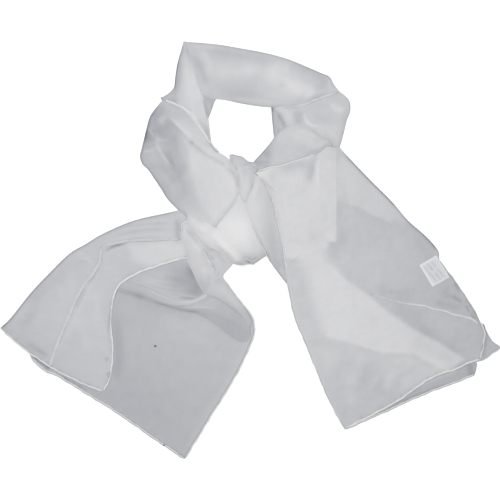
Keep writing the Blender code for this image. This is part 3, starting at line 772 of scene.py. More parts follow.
# The way in from an edge over which creases reach their height, and the share of it that
# they have at the very edge of a flat sheet.
RELIEF_WAY, FLAT_RELIEF_WAY, FLAT_RELIEF = 5, 10, 0.35

# A closed stretch's least thickness at its edge, over what way, and its least anywhere, and
# how far a soft edge sinks, over what way.
EDGE_WALL, EDGE_WAY, LEAST_WALL = 0.05, 4, 0.04
SOFT_SINK, SOFT_WAY = 0.2, 6

# Wavelengths of the long and short crumples and of the drift in tone, and how strong the
# last two are.
LONG_CRUMPLE, SHORT_CRUMPLE, TONE_DRIFT = 46, 19, 24
SHORT_SHARE, TONE_SHARE = 0.45, 0.1

# Hems: the ring's eight directions and the faces that close it, how far apart rings are and
# how few there may be, the way over which an end draws in, and to what share of its area.
RING = np.radians([-20, 20, 55, 90, 125, 160, 200, 270])
CAPS = np.array([[3, 2, 1, 0], [7, 4, 3, 0], [7, 6, 5, 4]])
RING_STEP, FEWEST_RINGS, END_WAY, END_AREA = 2.0, 8, 8, 0.02
# Wavelengths of the swell and the sway, and how far they go, the first as a share.
SWELL_WAVES, HEM_SWELL = (7.3, 12.1, 19.7, 41.0), 0.05
SWAY_WAVES, HEM_SWAY = (17.0, 29.0, 53.0), 0.2
LAST_PHASE = 6.28  # phases are drawn from 0 up to this many radians
# How high a hem and a seam stand, and how much of that they are raised or sunk by.
HEM_RISE, SEAM_RISE, HEM_LIFT, SEAM_SINK = 0.32, 0.3, 0.15, 0.45
# Layers: the share that only the top has, the swell's part and what an end has less.
TOP_TONE, SWELL_TONE, END_TONE = 0.3, 0.04, 1.5
# Below this height, eased over the next way, a hem's side away from the cloth is painted
# darker, as the shadow beside cloth on the floor, and its side towards the cloth stays light:
# the share of its layers in between, how far it leans to the cloth's side, and the least share.
FLOOR_HEM, FLOOR_WAY, SIDE_MIDDLE, SIDE_LEAN, SIDE_LEAST = 0.85, 0.2, 0.5, 0.9, 0.05
TABLE_HEM = 2.0  # the hem width for which the tables give their radii
SEAM_POINTS = 12  # points on a seam for each that its table gives
SEED_STEP = 7  # seeds from one stretch's hems to the next one's

# Flecks: points across, how high the middle lies, and half the thickness of rim and dome.
FLECK_POINTS, FLECK_LIFT, FLECK_RIM, FLECK_DOME = 13, 0.45, 0.02, 0.38

# Materials: radians in a turn, and how much finer slubs are across than along.
TURN, SLUB_FINENESS = 6.28318, 22.0
SPECULAR, SHEEN_ROUGHNESS, MATT = 0.35, 0.5, 0.9  # MATT is the roughness of floor and lint
# How strong the weave's bump is, and how deep it is in the cloth, the hems and the label.
BUMP_STRENGTH, WEAVE_DEPTH, HEM_DEPTH, LABEL_DEPTH = 0.35, 0.05, 0.08, 0.12
LINT_COLOUR = (0.05, 0.05, 0.055, 1)
MIX_FIRST, MIX_SECOND, MIX_RESULT = 6, 7, 2  # a Mix node's colour sockets

# The stage, in metres: each light's place and size, half the floor's side and its depth.
OVERHEAD_PLACE, OVERHEAD_SIZE = (0, 0, 2.6), 2.2
KEY_PLACE, KEY_SIZE = (-1.5, 1.3, 1.7), 0.9
FLOOR_HALF, FLOOR_DEPTH = 4.0, 0.0002


class HeightMap:
    """The top of everything laid down so far, in millimetres above the floor."""

    pitch = 1.25  # from one point of the map to the next
    half = 410.0  # from the middle of the map to its edges

    def __init__(self):
        cells = int(2 * self.half / self.pitch) + 1
        self.top = np.zeros((cells, cells))

    def cell(self, plan):
        """Row and column on the map: (y + half) / pitch and (x + half) / pitch."""
        return (plan[..., 1] + self.half) / self.pitch, (plan[..., 0] + self.half) / self.pitch

    def enter(self, plan, height):
        """Raises the map to a surface, filled in between its grid points in straight steps."""
        grid = np.dstack([plan, height])
        longest = max(np.linalg.norm(np.diff(plan, axis=k), axis=2).max() for k in (0, 1))
        steps = int(longest / (FILL * self.pitch)) + 1
        last_row, last_column = grid.shape[0] - 1, grid.shape[1] - 1
        v = np.linspace(0, last_row, last_row * steps + 1)
        u = np.linspace(0, last_column, last_column * steps + 1)
        i = np.minimum(v.astype(int), last_row - 1)
        j = np.minimum(u.astype(int), last_column - 1)
        s, t = (v - i)[:, None, None], (u - j)[None, :, None]
        near = grid[i][:, j] * (1 - t) + grid[i][:, j + 1] * t
        far = grid[i + 1][:, j] * (1 - t) + grid[i + 1][:, j + 1] * t
        fine = near * (1 - s) + far * s
        row, column = self.cell(fine)
        np.maximum.at(self.top, (row.round().astype(int), column.round().astype(int)), fine[..., 2])

    def under(self, plan, reach):
        """Height to rest at: the map's highest point within reach, averaged over the same
        reach twice, then read between the four cells around each point."""
        cells = max(int(round(reach / self.pitch)), 1)
        evened = self.top
        for span, combine in ((cells, np.max), ((cells + 1) // 2, np.mean), (cells // 2, np.mean)):
            for axis in (0, 1):
                evened = combine([np.roll(evened, k, axis) for k in range(-span, span + 1)], axis=0)
        row, column = self.cell(plan)
        i, j = row.astype(int), column.astype(int)
        s, t = row - i, column - j
        near = evened[i, j] * (1 - t) + evened[i, j + 1] * t
        far = evened[i + 1, j] * (1 - t) + evened[i + 1, j + 1] * t
        return near * (1 - s) + far * s


def smooth_rows(rows, count):
    """Rows of numbers between the given rows, by the Catmull-Rom cubic: each new row weighs
    the two given rows before it and the two after it."""
    rows = np.asarray(rows, float)
    ends = np.vstack([2 * rows[0] - rows[1], rows, 2 * rows[-1] - rows[-2]])
    station = np.linspace(0, len(rows) - 1, count)
    first = np.minimum(station.astype(int), len(rows) - 2)
    t = (station - first)[:, None]
    before, start, end, after = (ends[first + k] for k in range(4))
    return 0.5 * (
        2 * start
        + (end - before) * t
        + (2 * before - 5 * start + 4 * end - after) * t**2
        + (3 * start - before - 3 * end + after) * t**3
    )


def ease(x):
    """0 below 0, 1 above 1, and between them three x squared less two x cubed."""
    x = np.clip(x, 0, 1)
    return x * x * (3 - 2 * x)


def along_crease(crease, plan):
    """How strongly a crease acts at each point: a bell across it, exp(-(d / width)^2), where
    d is the distance from a line bowed by 4 t (1 - t), eased to nothing at the ends that fade."""
    start = np.array([crease.x0, crease.y0], float)
    run = np.array([crease.x1, crease.y1], float) - start
    length = np.linalg.norm(run)
    ahead = ((plan - start) @ run) / length**2
    t = np.clip(ahead, 0, 1)
    left = ((plan - start) @ np.array([-run[1], run[0]])) / length - crease.bow * 4 * t * (1 - t)
    width = np.where(left > 0, crease.width, crease.width * crease.skew)
    strength = np.exp(-(left**2 + ((ahead - t) * length) ** 2) / width**2)
    if crease.fade in ("both", "start"):
        strength = strength * ease(t / CREASE_FADE)
    if crease.fade in ("both", "end"):
        strength = strength * ease((1 - t) / CREASE_FADE)
    return strength


def within_patch(patch, plan):
    """1 inside the corners and 0 outside, eased across the outline over the softness. For a
    patch of several parts it is the greatest of theirs."""
    parts = [(patch.soft, patch.corners), *patch.more]
    return np.max([within_part(soft, corners, plan) for soft, corners in parts], axis=0)


def within_part(soft, corners, plan):
    """ease(1/2 + d / soft), where d is the distance from the outline, less than 0 outside."""
    corners = np.array(corners, float)
    nearest = np.full(plan.shape[:2], np.inf)
    inside = np.zeros(plan.shape[:2], bool)
    for a, b in zip(corners, np.roll(corners, -1, axis=0)):
        run = b - a
        t = np.clip(((plan - a) @ run) / (run @ run), 0, 1)
        nearest = np.minimum(nearest, np.linalg.norm(plan - a - t[..., None] * run, axis=2))
        crosses = (a[1] > plan[..., 1]) != (b[1] > plan[..., 1])
        rise = np.where(run[1] == 0, TINY, run[1])
        inside ^= crosses & (plan[..., 0] < a[0] + (plan[..., 1] - a[1]) * run[0] / rise)
    return ease(0.5 + np.where(inside, nearest, -nearest) / soft)


def uneven(plan, wavelength, seed):
    """Soft unevenness between about -1 and 1: a sum of sine waves across the plan, each in
    its own direction and length, and each bent by a slower sine that runs across it."""
    rng = np.random.default_rng(seed)
    x, y = plan[..., 0], plan[..., 1]
    total = np.zeros(plan.shape[:2])
    for _ in range(WAVES):
        turn, phase, bend = rng.uniform(0, 2 * np.pi, 3)
        wave = 2 * np.pi / (wavelength * rng.uniform(*WAVE_LENGTHS))
        along = x * np.cos(turn) + y * np.sin(turn)
        across = y * np.cos(turn) - x * np.sin(turn)
        bent = WAVE_BEND * np.sin(BEND_RATE * wave * across + bend)
        total += np.sin(wave * along + phase + bent)
    return total / WAVE_SUM


def edge_profile(kind, x):
    """The crown from an edge (x = 1) to the middle (x = 0). Rolled and flat are 1 - x^power,
    each with its own power, and soft is an S-curve that leaves the cloth below without a
    step."""
    if kind == "soft":
        return ease(1 - x)
    return 1 - x**(ROLL_POWER if kind == "roll" else FLAT_POWER)


def along_edging(edging, plan):
    """How strongly an edging acts: exp(-(d / width)^2), where d is the distance from the edge,
    eased to nothing at both ends of its share. Also its puckers, between -1 and 1: a sine of
    the way along the edge that drifts by a slower sine and swells by a slower one still."""
    axis = 1 if edging.edge in ("left", "right") else 0
    line = edge_of(plan, edging.edge)
    way = np.expand_dims(way_along(line), axis)
    share = np.expand_dims(np.linspace(0, 1, len(line)), axis)
    away = np.linalg.norm(plan - np.expand_dims(line, axis), axis=2)
    inside = (share - edging.start) / (edging.end - edging.start)
    ends = ease(inside / EDGING_FADE) * ease((1 - inside) / EDGING_FADE)
    ripple = np.sin(way / PUCKER_WAY + PUCKER_DRIFT * np.sin(way / DRIFT_WAY))
    swell = 1 - PUCKER_SWELL + PUCKER_SWELL * np.sin(way / SWELL_WAY)
    return np.exp(-(away / edging.width) ** 2) * ends, ripple * swell


def edge_of(grid, edge):
    """One edge of a grid of points, in order."""
    return {"left": grid[:, 0], "right": grid[:, -1], "start": grid[0], "end": grid[-1]}[edge]


def way_along(path):
    """The way from the start of a path to each of its points: the steps' lengths, summed."""
    return np.r_[0, np.cumsum(np.linalg.norm(np.diff(path, axis=0), axis=1))]


# A stretch's points in plan, their share u of the way across, its rise and layers at each
# row, and each point's way from the left, from the right, from the start (ahead) and from
# the nearest edge.
Grid = namedtuple("Grid", "plan share rise layers_l layers_r from_left from_right ahead edge")


def plan_grid(stretch, pitch):
    """The plan of a stretch: left + (right - left) * u + a sideways bow of 4 u (1 - u),
    dragged by the tugs. The points of a closed stretch gather towards its long edges. A flat
    sheet has its second row and column drawn in, so its rim is crisp there."""
    rows = np.array(stretch.sections, float)
    middle = (rows[:, 0:2] + rows[:, 2:4]) / 2
    length = way_along(middle)[-1]
    width = np.linalg.norm(rows[:, 2:4] - rows[:, 0:2], axis=1)
    outer = max(way_along(rows[:, k:k + 2])[-1] for k in (0, 2))
    along = int(max(length, OUTER_SHARE * outer) / pitch) + 2
    across = int(WIDTH_SHARE * width.max() / pitch) + 2
    rows = smooth_rows(rows, along)
    u = np.linspace(0, 1, across)
    steps = np.linspace(0, 1, along)
    if stretch.left == "flat":
        u[1] *= RIM_SHARE
        steps[1] *= RIM_SHARE
        rows[1] = rows[0] + RIM_SHARE * (rows[1] - rows[0])
    else:
        u = 0.5 * u + 0.5 * (0.5 - 0.5 * np.cos(np.pi * u))
    left, right = rows[:, None, 0:2], rows[:, None, 2:4]
    rise, layers_l, layers_r, bow = (rows[:, k:k + 1] for k in range(4, 8))
    chord = right - left
    span = np.linalg.norm(chord, axis=2, keepdims=True)
    sideways = np.concatenate([-chord[..., 1:], chord[..., :1]], axis=2) / np.maximum(span, TINY)
    share = u[None, :, None]
    plan = left + chord * share + sideways * bow[:, None] * 4 * share * (1 - share)
    for tug in stretch.tugs:
        off = np.linalg.norm(plan - (tug.x, tug.y), axis=2, keepdims=True)
        plan = plan + np.exp(-(off / tug.radius) ** 2) * np.array([tug.dx, tug.dy])
    from_left = u * span[..., 0]
    from_right = (1 - u) * span[..., 0]
    ahead = np.broadcast_to(length * steps[:, None], from_left.shape)
    edge = np.minimum(np.minimum(from_left, from_right), np.minimum(ahead, length - ahead))
    return Grid(plan, u[None], rise, layers_l, layers_r, from_left, from_right, ahead, edge)


def rest_height(stretch, grid, heights):
    """The height that a stretch rests at. It comes down to the cloth below at its edges and
    sinks in there, and away from them it bridges steps. Without a reach it is the floor."""
    if not stretch.reach:
        return np.zeros(grid.edge.shape)
    near = heights.under(grid.plan, EDGE_REACH)
    far = heights.under(grid.plan, stretch.reach)
    rest = near + (far - near) * ease(grid.edge / BRIDGE_WAY)
    deepest = FLAT_SINK if stretch.left == "flat" else CLOSED_SINK
    sink = deepest * (1 - ease(grid.edge / SINK_WAY))
    return np.where(rest > FLOOR_REST, np.maximum(rest + CLEARANCE - sink, LOWEST_REST), rest)


def relief_layers_and_shade(stretch, grid, crumple, seed):
    """The relief of a stretch, which is its creases, puckers and unevenness added up, and its
    layers of silk, left + (right - left) * u of its sections, plus what each crease, patch
    and edging adds, plus a slow drift. What these add is partly real layers of silk and
    partly painted shade and highlights."""
    plan = grid.plan
    relief = np.zeros(grid.edge.shape)
    layers = grid.layers_l + (grid.layers_r - grid.layers_l) * grid.share
    # What the creases, patches and edgings add to the layers is partly real layers of silk and
    # partly painted shade and highlights.
    for crease in stretch.creases:
        strength = along_crease(crease, plan)
        relief += crease.height * strength
        layers = layers + crease.layers * strength
    for patch in stretch.patches:
        layers = layers + patch.layers * within_patch(patch, plan)
    for edging in stretch.edgings:
        strength, puckers = along_edging(edging, plan)
        relief += edging.pucker * puckers * strength
        # The edging's layers are mostly painted light and shade, and painted shade and light follow
        # the puckers' ripple.
        tone = edging.layers - PUCKER_SHADE * np.sign(edging.pucker) * puckers
        layers = layers + tone * strength
    relief += crumple * stretch.crumple * (
        uneven(plan, LONG_CRUMPLE, seed) + SHORT_SHARE * uneven(plan, SHORT_CRUMPLE, seed + 1))
    return relief, layers + TONE_SHARE * uneven(plan, TONE_DRIFT, seed + 2)


def lay_out(stretch, heights, pitch, wall, crumple, loft, seed):
    """The lower and upper surface of a stretch, its layers and its cloth coordinates. The
    upper one is the height it rests at, plus the crown, plus the relief, which is less at the
    edges. The lower one of a flat sheet is a wall below it, and that of a closed stretch lies
    at the height it rests at."""
    grid = plan_grid(stretch, pitch)
    rest = rest_height(stretch, grid, heights)
    relief, layers = relief_layers_and_shade(stretch, grid, crumple, seed)
    x = 2 * grid.share - 1
    profile = np.where(x < 0, edge_profile(stretch.left, np.abs(x)),
                       edge_profile(stretch.right, np.abs(x)))
    upper = rest + loft * grid.rise * profile
    if stretch.left == "flat":
        relief = relief * (FLAT_RELIEF + (1 - FLAT_RELIEF) * ease(grid.edge / FLAT_RELIEF_WAY))
        upper = np.maximum(upper + relief, rest) + wall
        lower = upper - wall
    else:
        upper = upper + relief * ease(grid.edge / RELIEF_WAY)
        for kind, away in ((stretch.left, grid.from_left), (stretch.right, grid.from_right)):
            if kind == "soft":
                upper = upper - SOFT_SINK * (1 - ease(away / SOFT_WAY))
        least = np.where(ease(grid.edge / EDGE_WAY) < 1, EDGE_WALL, wall)
        upper = np.maximum(upper, np.minimum(rest, FLOOR_REST) + least)
        lower = np.clip(rest, 0, upper - LEAST_WALL)
    heights.enter(grid.plan, upper)
    return (np.dstack([grid.plan, lower]), np.dstack([grid.plan, upper]), layers,
            np.dstack([grid.from_left, grid.ahead]))


def new_mesh(name, points, quads, uv, layers, material):
    """A mesh from whole arrays of points and four-sided faces, with cloth coordinates in
    metres as its UV map and, as an attribute, the layers of silk with their painted shade and
    highlights."""
    mesh = bpy.data.meshes.new(name)
    mesh.vertices.add(len(points))
    mesh.vertices.foreach_set("co", (points * MM).astype(np.float32).ravel())
    mesh.loops.add(quads.size)
    mesh.loops.foreach_set("vertex_index", quads.astype(np.int32).ravel())
    mesh.polygons.add(len(quads))
    mesh.polygons.foreach_set("loop_start", np.arange(0, quads.size, 4, dtype=np.int32))
    mesh.polygons.foreach_set("use_smooth", np.ones(len(quads), bool))
    mesh.update(calc_edges=True)
    mesh.uv_layers.new(name="UVMap").uv.foreach_set(
        "vector", (uv[quads.ravel()] * MM).astype(np.float32).ravel())
    mesh.attributes.new("layers", "FLOAT", "POINT").data.foreach_set(
        "value", layers.astype(np.float32))
    mesh.materials.append(material)
    piece = bpy.data.objects.new(name, mesh)
    bpy.context.scene.collection.objects.link(piece)
    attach(piece, "root")
    return piece


def cloth_solid(name, lower, upper, layers, cloth, material):
    """A closed wall between two grids of points: faces over the upper one, the same faces
    turned over on the lower one, and a rim of faces that joins their edges."""
    rows, columns = layers.shape
    number = np.arange(rows * columns).reshape(rows, columns)
    corner = number[:-1, :-1], number[:-1, 1:], number[1:, 1:], number[1:, :-1]
    over = np.stack(corner, axis=-1).reshape(-1, 4)
    across = upper[0, -1, :2] - upper[0, 0, :2]
    onward = upper[rows // 2, 0, :2] - upper[0, 0, :2]
    turned = across[0] * onward[1] - across[1] * onward[0] < 0
    if turned:
        over = over[:, ::-1]
    rim = np.concatenate([number[0, :], number[1:, -1], number[-1, -2::-1], number[-2::-1, 0]])
    start, end = rim[:-1], rim[1:]
    lift = rows * columns
    sides = np.stack([start, end, end + lift, start + lift], axis=-1)
    if turned:
        sides = sides[:, ::-1]
    quads = np.concatenate([over + lift, over[:, ::-1], sides])
    points = np.concatenate([lower.reshape(-1, 3), upper.reshape(-1, 3)])
    flat = cloth.reshape(-1, 2)
    depth = layers.reshape(-1)
    return new_mesh(name, points, quads, np.concatenate([flat, flat]),
                    np.concatenate([depth, depth]), material)


def rolled_hem(name, path, radius, rise, inward, layers, seed, material):
    """A rolled hem: an eight-sided ring, with most of its sides on top, carried along a path.
    The ring's radius swells and thins along the way by a few sines, and the ends draw in to
    close. Its height is rise times its width, and its tone is greatest along its top.
    inward is 1 if the cloth is on the left of the path, -1 if on the right and 0 if on both,
    where only the top of it shows. On the floor its side away from the cloth is painted
    darker, a painted shadow that draws the outline where it meets the floor, and it stays
    lightest towards the cloth."""
    stops = way_along(path)
    count = max(int(stops[-1] / RING_STEP), FEWEST_RINGS)
    way = np.linspace(0, stops[-1], count)
    middle = np.stack([np.interp(way, stops, path[:, k]) for k in range(3)], axis=1)
    rng = np.random.default_rng(seed)
    swell = sum(np.sin(way * 2 * np.pi / w + rng.uniform(0, LAST_PHASE)) for w in SWELL_WAVES)
    size = radius * (1 + HEM_SWELL * swell)
    ends = np.minimum(np.minimum(way, stops[-1] - way) / END_WAY, 1)
    size = size * np.sqrt(np.clip(1 - (1 - ends) ** 2, END_AREA, 1))
    ahead = np.gradient(middle, axis=0)
    aside = np.stack([-ahead[:, 1], ahead[:, 0], np.zeros(count)], axis=1)
    aside /= np.maximum(np.linalg.norm(aside, axis=1, keepdims=True), TINY)
    sway = sum(np.sin(way * 2 * np.pi / w + rng.uniform(0, LAST_PHASE)) for w in SWAY_WAVES)
    middle = middle + aside * (HEM_SWAY * sway * ends)[:, None]
    lift = HEM_LIFT if inward else -SEAM_SINK
    middle[:, 2] = np.maximum(middle[:, 2] + lift * rise * size, rise * size)
    ring = (middle[:, None] + aside[:, None] * (size[:, None] * np.cos(RING))[..., None]
            + np.array([0, 0, 1.0]) * (rise * size[:, None] * np.sin(RING))[..., None])
    number = np.arange(count * len(RING)).reshape(count, len(RING))
    onward = np.roll(number, -1, axis=1)
    quads = np.stack([number[:-1], onward[:-1], onward[1:], number[1:]], axis=-1).reshape(-1, 4)
    quads = np.concatenate([quads[:, ::-1], CAPS[:, ::-1], number[-1][CAPS]])
    uv = np.stack([np.broadcast_to(RING * radius, number.shape),
                   np.broadcast_to(way[:, None], number.shape)], axis=-1).reshape(-1, 2)
    around = 1 - TOP_TONE + TOP_TONE * np.maximum(np.sin(RING), 0)
    # On the floor: painted shadow on the hem's side away from the cloth.
    low = abs(inward) * ease((FLOOR_HEM - middle[:, 2:3]) / FLOOR_WAY)
    floor_shadow_share = np.clip(SIDE_MIDDLE + SIDE_LEAN * inward * np.cos(RING), SIDE_LEAST, 1)
    around = around + low * (floor_shadow_share - around)
    tone = (layers * (1 + SWELL_TONE * swell) - END_TONE * (1 - ends))[:, None] * around
    return new_mesh(name, ring.reshape(-1, 3), quads, uv, tone.ravel(), material)


def new_group(name, inputs, outputs):
    """A shader node group with named sockets, each a name, a kind and, for some inputs, a
    default. Gives the group, the node of its inputs and the node of its outputs."""
    group = bpy.data.node_groups.new(name, "ShaderNodeTree")
    for way, sockets in (("INPUT", inputs), ("OUTPUT", outputs)):
        for label, kind, *value in sockets:
            socket = group.interface.new_socket(
                name=label, in_out=way, socket_type="NodeSocket" + kind)
            if value:
                socket.default_value = value[0]
    return group, group.nodes.new("NodeGroupInput"), group.nodes.new("NodeGroupOutput")


def math_node(tree, operation, *values):
    """A Math node of one or two inputs, each a number or another node's socket."""
    node = tree.nodes.new("ShaderNodeMath")
    node.operation = operation
    for socket, value in zip(node.inputs, values):
        if isinstance(value, (int, float)):
            socket.default_value = value
        else:
            tree.links.new(value, socket)
    return node.outputs[0]


def set_inputs(node, values):
    """Sets a node's inputs by their names."""
    for name, value in values.items():
        node.inputs[name].default_value = value


def plain_weave_group():
    """Fine plain weave. Height is the sine of the warp threads less that of the weft, and
    Tone is a band of noise drawn out along each set of threads, as slubs are."""
    group, given, result = new_group(
        "plain_weave",
        [("Cloth", "Vector"), ("Threads per Metre", "Float", 1600.0),
         ("Slub Length", "Float", 30.0)],
        [("Height", "Float"), ("Tone", "Float")])
    split = group.nodes.new("ShaderNodeSeparateXYZ")
    group.links.new(given.outputs["Cloth"], split.inputs[0])
    turns = math_node(group, "MULTIPLY", given.outputs["Threads per Metre"], TURN)
    warp = math_node(group, "SINE", math_node(group, "MULTIPLY", split.outputs[0], turns))
    weft = math_node(group, "SINE", math_node(group, "MULTIPLY", split.outputs[1], turns))
    group.links.new(math_node(group, "SUBTRACT", warp, weft), result.inputs["Height"])
    coarse = given.outputs["Slub Length"]
    fine = math_node(group, "MULTIPLY", coarse, SLUB_FINENESS)
    tones = []
    for along, across in ((0, 1), (1, 0)):
        drawn = group.nodes.new("ShaderNodeCombineXYZ")
        for scale, source, place in ((coarse, along, 0), (fine, across, 1)):
            group.links.new(
                math_node(group, "MULTIPLY", split.outputs[source], scale), drawn.inputs[place])
        noise = group.nodes.new("ShaderNodeTexNoise")
        noise.noise_dimensions = "2D"
        set_inputs(noise, {"Scale": 1.0, "Detail": 2.0})
        group.links.new(drawn.outputs[0], noise.inputs["Vector"])
        tones.append(noise.outputs[0])
    both = math_node(group, "MULTIPLY", math_node(group, "ADD", *tones), 0.5)
    group.links.new(both, result.inputs["Tone"])


def sheer_layers_group():
    """How white sheer cloth looks: the share of the dense colour is one less the
    exponential of minus the layers beyond the first over a fall-off, plus a little slub."""
    group, given, result = new_group(
        "sheer_layers",
        [("Layers", "Float", 1.0), ("Fall-off", "Float", 3.6), ("Slub", "Float", 0.5),
         ("Slub Strength", "Float", 0.05), ("Sheer Colour", "Color", (0.4, 0.4, 0.42, 1)),
         ("Dense Colour", "Color", (0.7, 0.7, 0.7, 1))],
        [("Colour", "Color")])
    beyond = math_node(group, "SUBTRACT", 1.0, given.outputs["Layers"])
    power = math_node(group, "DIVIDE", beyond, given.outputs["Fall-off"])
    covered = math_node(group, "SUBTRACT", 1.0, math_node(group, "EXPONENT", power))
    slub = math_node(group, "MULTIPLY", math_node(group, "SUBTRACT", given.outputs["Slub"], 0.5),
                     given.outputs["Slub Strength"])
    mix = group.nodes.new("ShaderNodeMix")
    mix.data_type = "RGBA"
    # Unclamped, so that fewer than one layer is darker than a single layer: the painted shade along
    # outlines and steps goes below one layer.
    mix.clamp_factor = False
    group.links.new(math_node(group, "ADD", covered, slub), mix.inputs["Factor"])
    group.links.new(given.outputs["Sheer Colour"], mix.inputs[MIX_FIRST])
    group.links.new(given.outputs["Dense Colour"], mix.inputs[MIX_SECOND])
    group.links.new(mix.outputs[MIX_RESULT], result.inputs["Colour"])


def bare_material(name, roughness, sheen):
    """A new material, its node tree and its shader, with the constants set on the shader."""
    material = bpy.data.materials.new(name)
    material.use_nodes = True
    tree = material.node_tree
    shader = tree.nodes["Principled BSDF"]
    set_inputs(shader, {"Roughness": roughness, "Specular IOR Level": SPECULAR,
                        "Sheen Weight": sheen, "Sheen Roughness": SHEEN_ROUGHNESS})
    return material, tree, shader


def silk_material(name, cloth, sheer, dense, weave_depth):
    """Silk: the sheer layers' colour, a fine weave in the bump, and a soft sheen."""
    material, tree, shader = bare_material(name, cloth.roughness, cloth.sheen)
    where = tree.nodes.new("ShaderNodeTexCoord")
    weave = tree.nodes.new("ShaderNodeGroup")
    weave.node_tree = bpy.data.node_groups["plain_weave"]
    set_inputs(weave, {"Threads per Metre": cloth.threads})
    tree.links.new(where.outputs["UV"], weave.inputs["Cloth"])
    layers = tree.nodes.new("ShaderNodeAttribute")
    layers.attribute_name = "layers"
    tone = tree.nodes.new("ShaderNodeGroup")
    tone.node_tree = bpy.data.node_groups["sheer_layers"]
    set_inputs(tone, {"Fall-off": cloth.fall_off, "Slub Strength": cloth.slub,
                      "Sheer Colour": (*sheer, 1), "Dense Colour": (*dense, 1)})
    tree.links.new(layers.outputs["Fac"], tone.inputs["Layers"])
    tree.links.new(weave.outputs["Tone"], tone.inputs["Slub"])
    tree.links.new(tone.outputs["Colour"], shader.inputs["Base Color"])
    bump = tree.nodes.new("ShaderNodeBump")
    set_inputs(bump, {"Strength": BUMP_STRENGTH, "Distance": weave_depth * MM})
    tree.links.new(weave.outputs["Height"], bump.inputs["Height"])
    tree.links.new(bump.outputs["Normal"], shader.inputs["Normal"])
    return material


def material_named(name):
    """A material of this scene, made on first use."""
    if name in bpy.data.materials:
        return bpy.data.materials[name]
    scene = bpy.context.scene
    cloth, label = scene.scarf_cloth, scene.scarf_label
    if "plain_weave" not in bpy.data.node_groups:
        plain_weave_group()
        sheer_layers_group()
    weaves = {
        "woven_silk": (cloth.sheer_colour, cloth.dense_colour, WEAVE_DEPTH),
        "rolled_silk": (cloth.sheer_colour, cloth.hem_colour, HEM_DEPTH),
        "label_weave": (label.colour, label.border, LABEL_DEPTH),
    }
    if name in weaves:
        return silk_material(name, cloth, *weaves[name])
    material, _, shader = bare_material(name, MATT, 0.0)
    set_inputs(shader, {"Base Color": LINT_COLOUR})
    return material


LIE = HeightMap()  # the one map that everything is laid down on


def make_stretch(stretch, seed, material="woven_silk"):
    """Lays one stretch down, with its hems and seams, in place of its plain solid."""
    cloth = bpy.context.scene.scarf_cloth
    pitch = cloth.pitch / MM * 1.0
    lower, upper, layers, flat = lay_out(
        stretch, LIE, pitch, cloth.wall / MM, cloth.crumple / MM, cloth.loft, cloth.seed + seed)
    piece = cloth_solid(
        f"{stretch.name}_silk", lower, upper, layers, flat, material_named(material))
    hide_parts(stretch.name)
    lines = []
    for hem in stretch.hems:
        path = edge_of(upper, hem.edge)
        first, last = int(hem.start * (len(path) - 1)), int(round(hem.end * (len(path) - 1)))
        path = path[first:last + 1]
        laid = LIE.under(path[None, :, :2], NEAREST)[0]
        height = (path[:, 2] + np.maximum(path[:, 2], laid)) / 2
        inward = 1 if hem.edge in ("right", "end") else -1
        lines.append((np.c_[path[:, :2], height], hem.radius, HEM_RISE, inward, hem.layers))
    for seam in stretch.seams:
        plan = smooth_rows(seam.points, SEAM_POINTS * len(seam.points))
        height = LIE.under(plan[None], NEAREST)[0]
        lines.append((np.c_[plan, height], seam.radius, SEAM_RISE, 0, seam.layers))
    for number, (path, radius, rise, inward, depth) in enumerate(lines):
        bead = rolled_hem(
            f"{stretch.name}_hem_{number}", path, radius * cloth.hem_width / (TABLE_HEM * MM),
            rise, inward, depth, cloth.seed + SEED_STEP * seed + number,
            material_named("rolled_silk"))


class ScarfCloth(bpy.types.PropertyGroup):
    """The silk itself."""

    pitch: FloatProperty(
        name="Mesh Pitch", description="Spacing of the surface's points",
        default=0.002, min=0.001, max=0.01, subtype="DISTANCE", unit="LENGTH")
    wall: FloatProperty(
        name="Cloth Thickness", description="Thickness of a single wall of silk",
        default=0.0003, min=0.0001, max=0.001, subtype="DISTANCE", unit="LENGTH")
    crumple: FloatProperty(
        name="Unevenness", description="How far the cloth wanders up and down between creases",
        default=0.001, min=0.0, max=0.005, subtype="DISTANCE", unit="LENGTH")
    hem_width: FloatProperty(
        name="Hem Width", description="Width of the rolled hem",
        default=0.002, min=0.001, max=0.005, subtype="DISTANCE", unit="LENGTH")
    threads: FloatProperty(
        name="Threads per Metre", description="Warp and weft threads in a metre",
        default=1600.0, min=200.0, max=6000.0)
    slub: FloatProperty(
        name="Slub", description="How far uneven threads change the tone",
        default=0.10, min=0.0, max=0.5, subtype="FACTOR")
    fall_off: FloatProperty(
        name="Layer Fall-off", description="Layers over which sheer silk turns white",
        default=3.6, min=0.5, max=20.0)
    roughness: FloatProperty(
        name="Roughness", description="Roughness of the silk's gloss",
        default=0.5, min=0.0, max=1.0, subtype="FACTOR")
    sheen: FloatProperty(
        name="Sheen", description="Soft sheen at grazing angles",
        default=0.15, min=0.0, max=1.0, subtype="FACTOR")
    loft: FloatProperty(
        name="Loft", description="How full the bunched stretches stand",
        default=0.75, min=0.0, max=1.5, subtype="FACTOR")
    seed: IntProperty(
        name="Seed", description="Which unevenness the cloth gets", default=11, min=0)
    sheer_colour: FloatVectorProperty(
        name="Single Layer", description="Colour where one layer lies alone",
        default=(0.372, 0.376, 0.398), min=0.0, max=1.0, size=3, subtype="COLOR")
    dense_colour: FloatVectorProperty(
        name="Many Layers", description="Colour where many layers lie together",
        default=(0.64, 0.64, 0.646), min=0.0, max=1.0, size=3, subtype="COLOR")
    hem_colour: FloatVectorProperty(
        name="Hem", description="Colour of the rolled hems",
        default=(0.66, 0.66, 0.665), min=0.0, max=1.0, size=3, subtype="COLOR")


class ScarfLabel(bpy.types.PropertyGroup):
    """The care label."""

    colour: FloatVectorProperty(
        name="Label", description="Colour of the label's open weave",
        default=(0.505, 0.51, 0.53), min=0.0, max=1.0, size=3, subtype="COLOR")
    border: FloatVectorProperty(
        name="Border", description="Colour of the label's close-woven border",
        default=(0.73, 0.735, 0.765), min=0.0, max=1.0, size=3, subtype="COLOR")


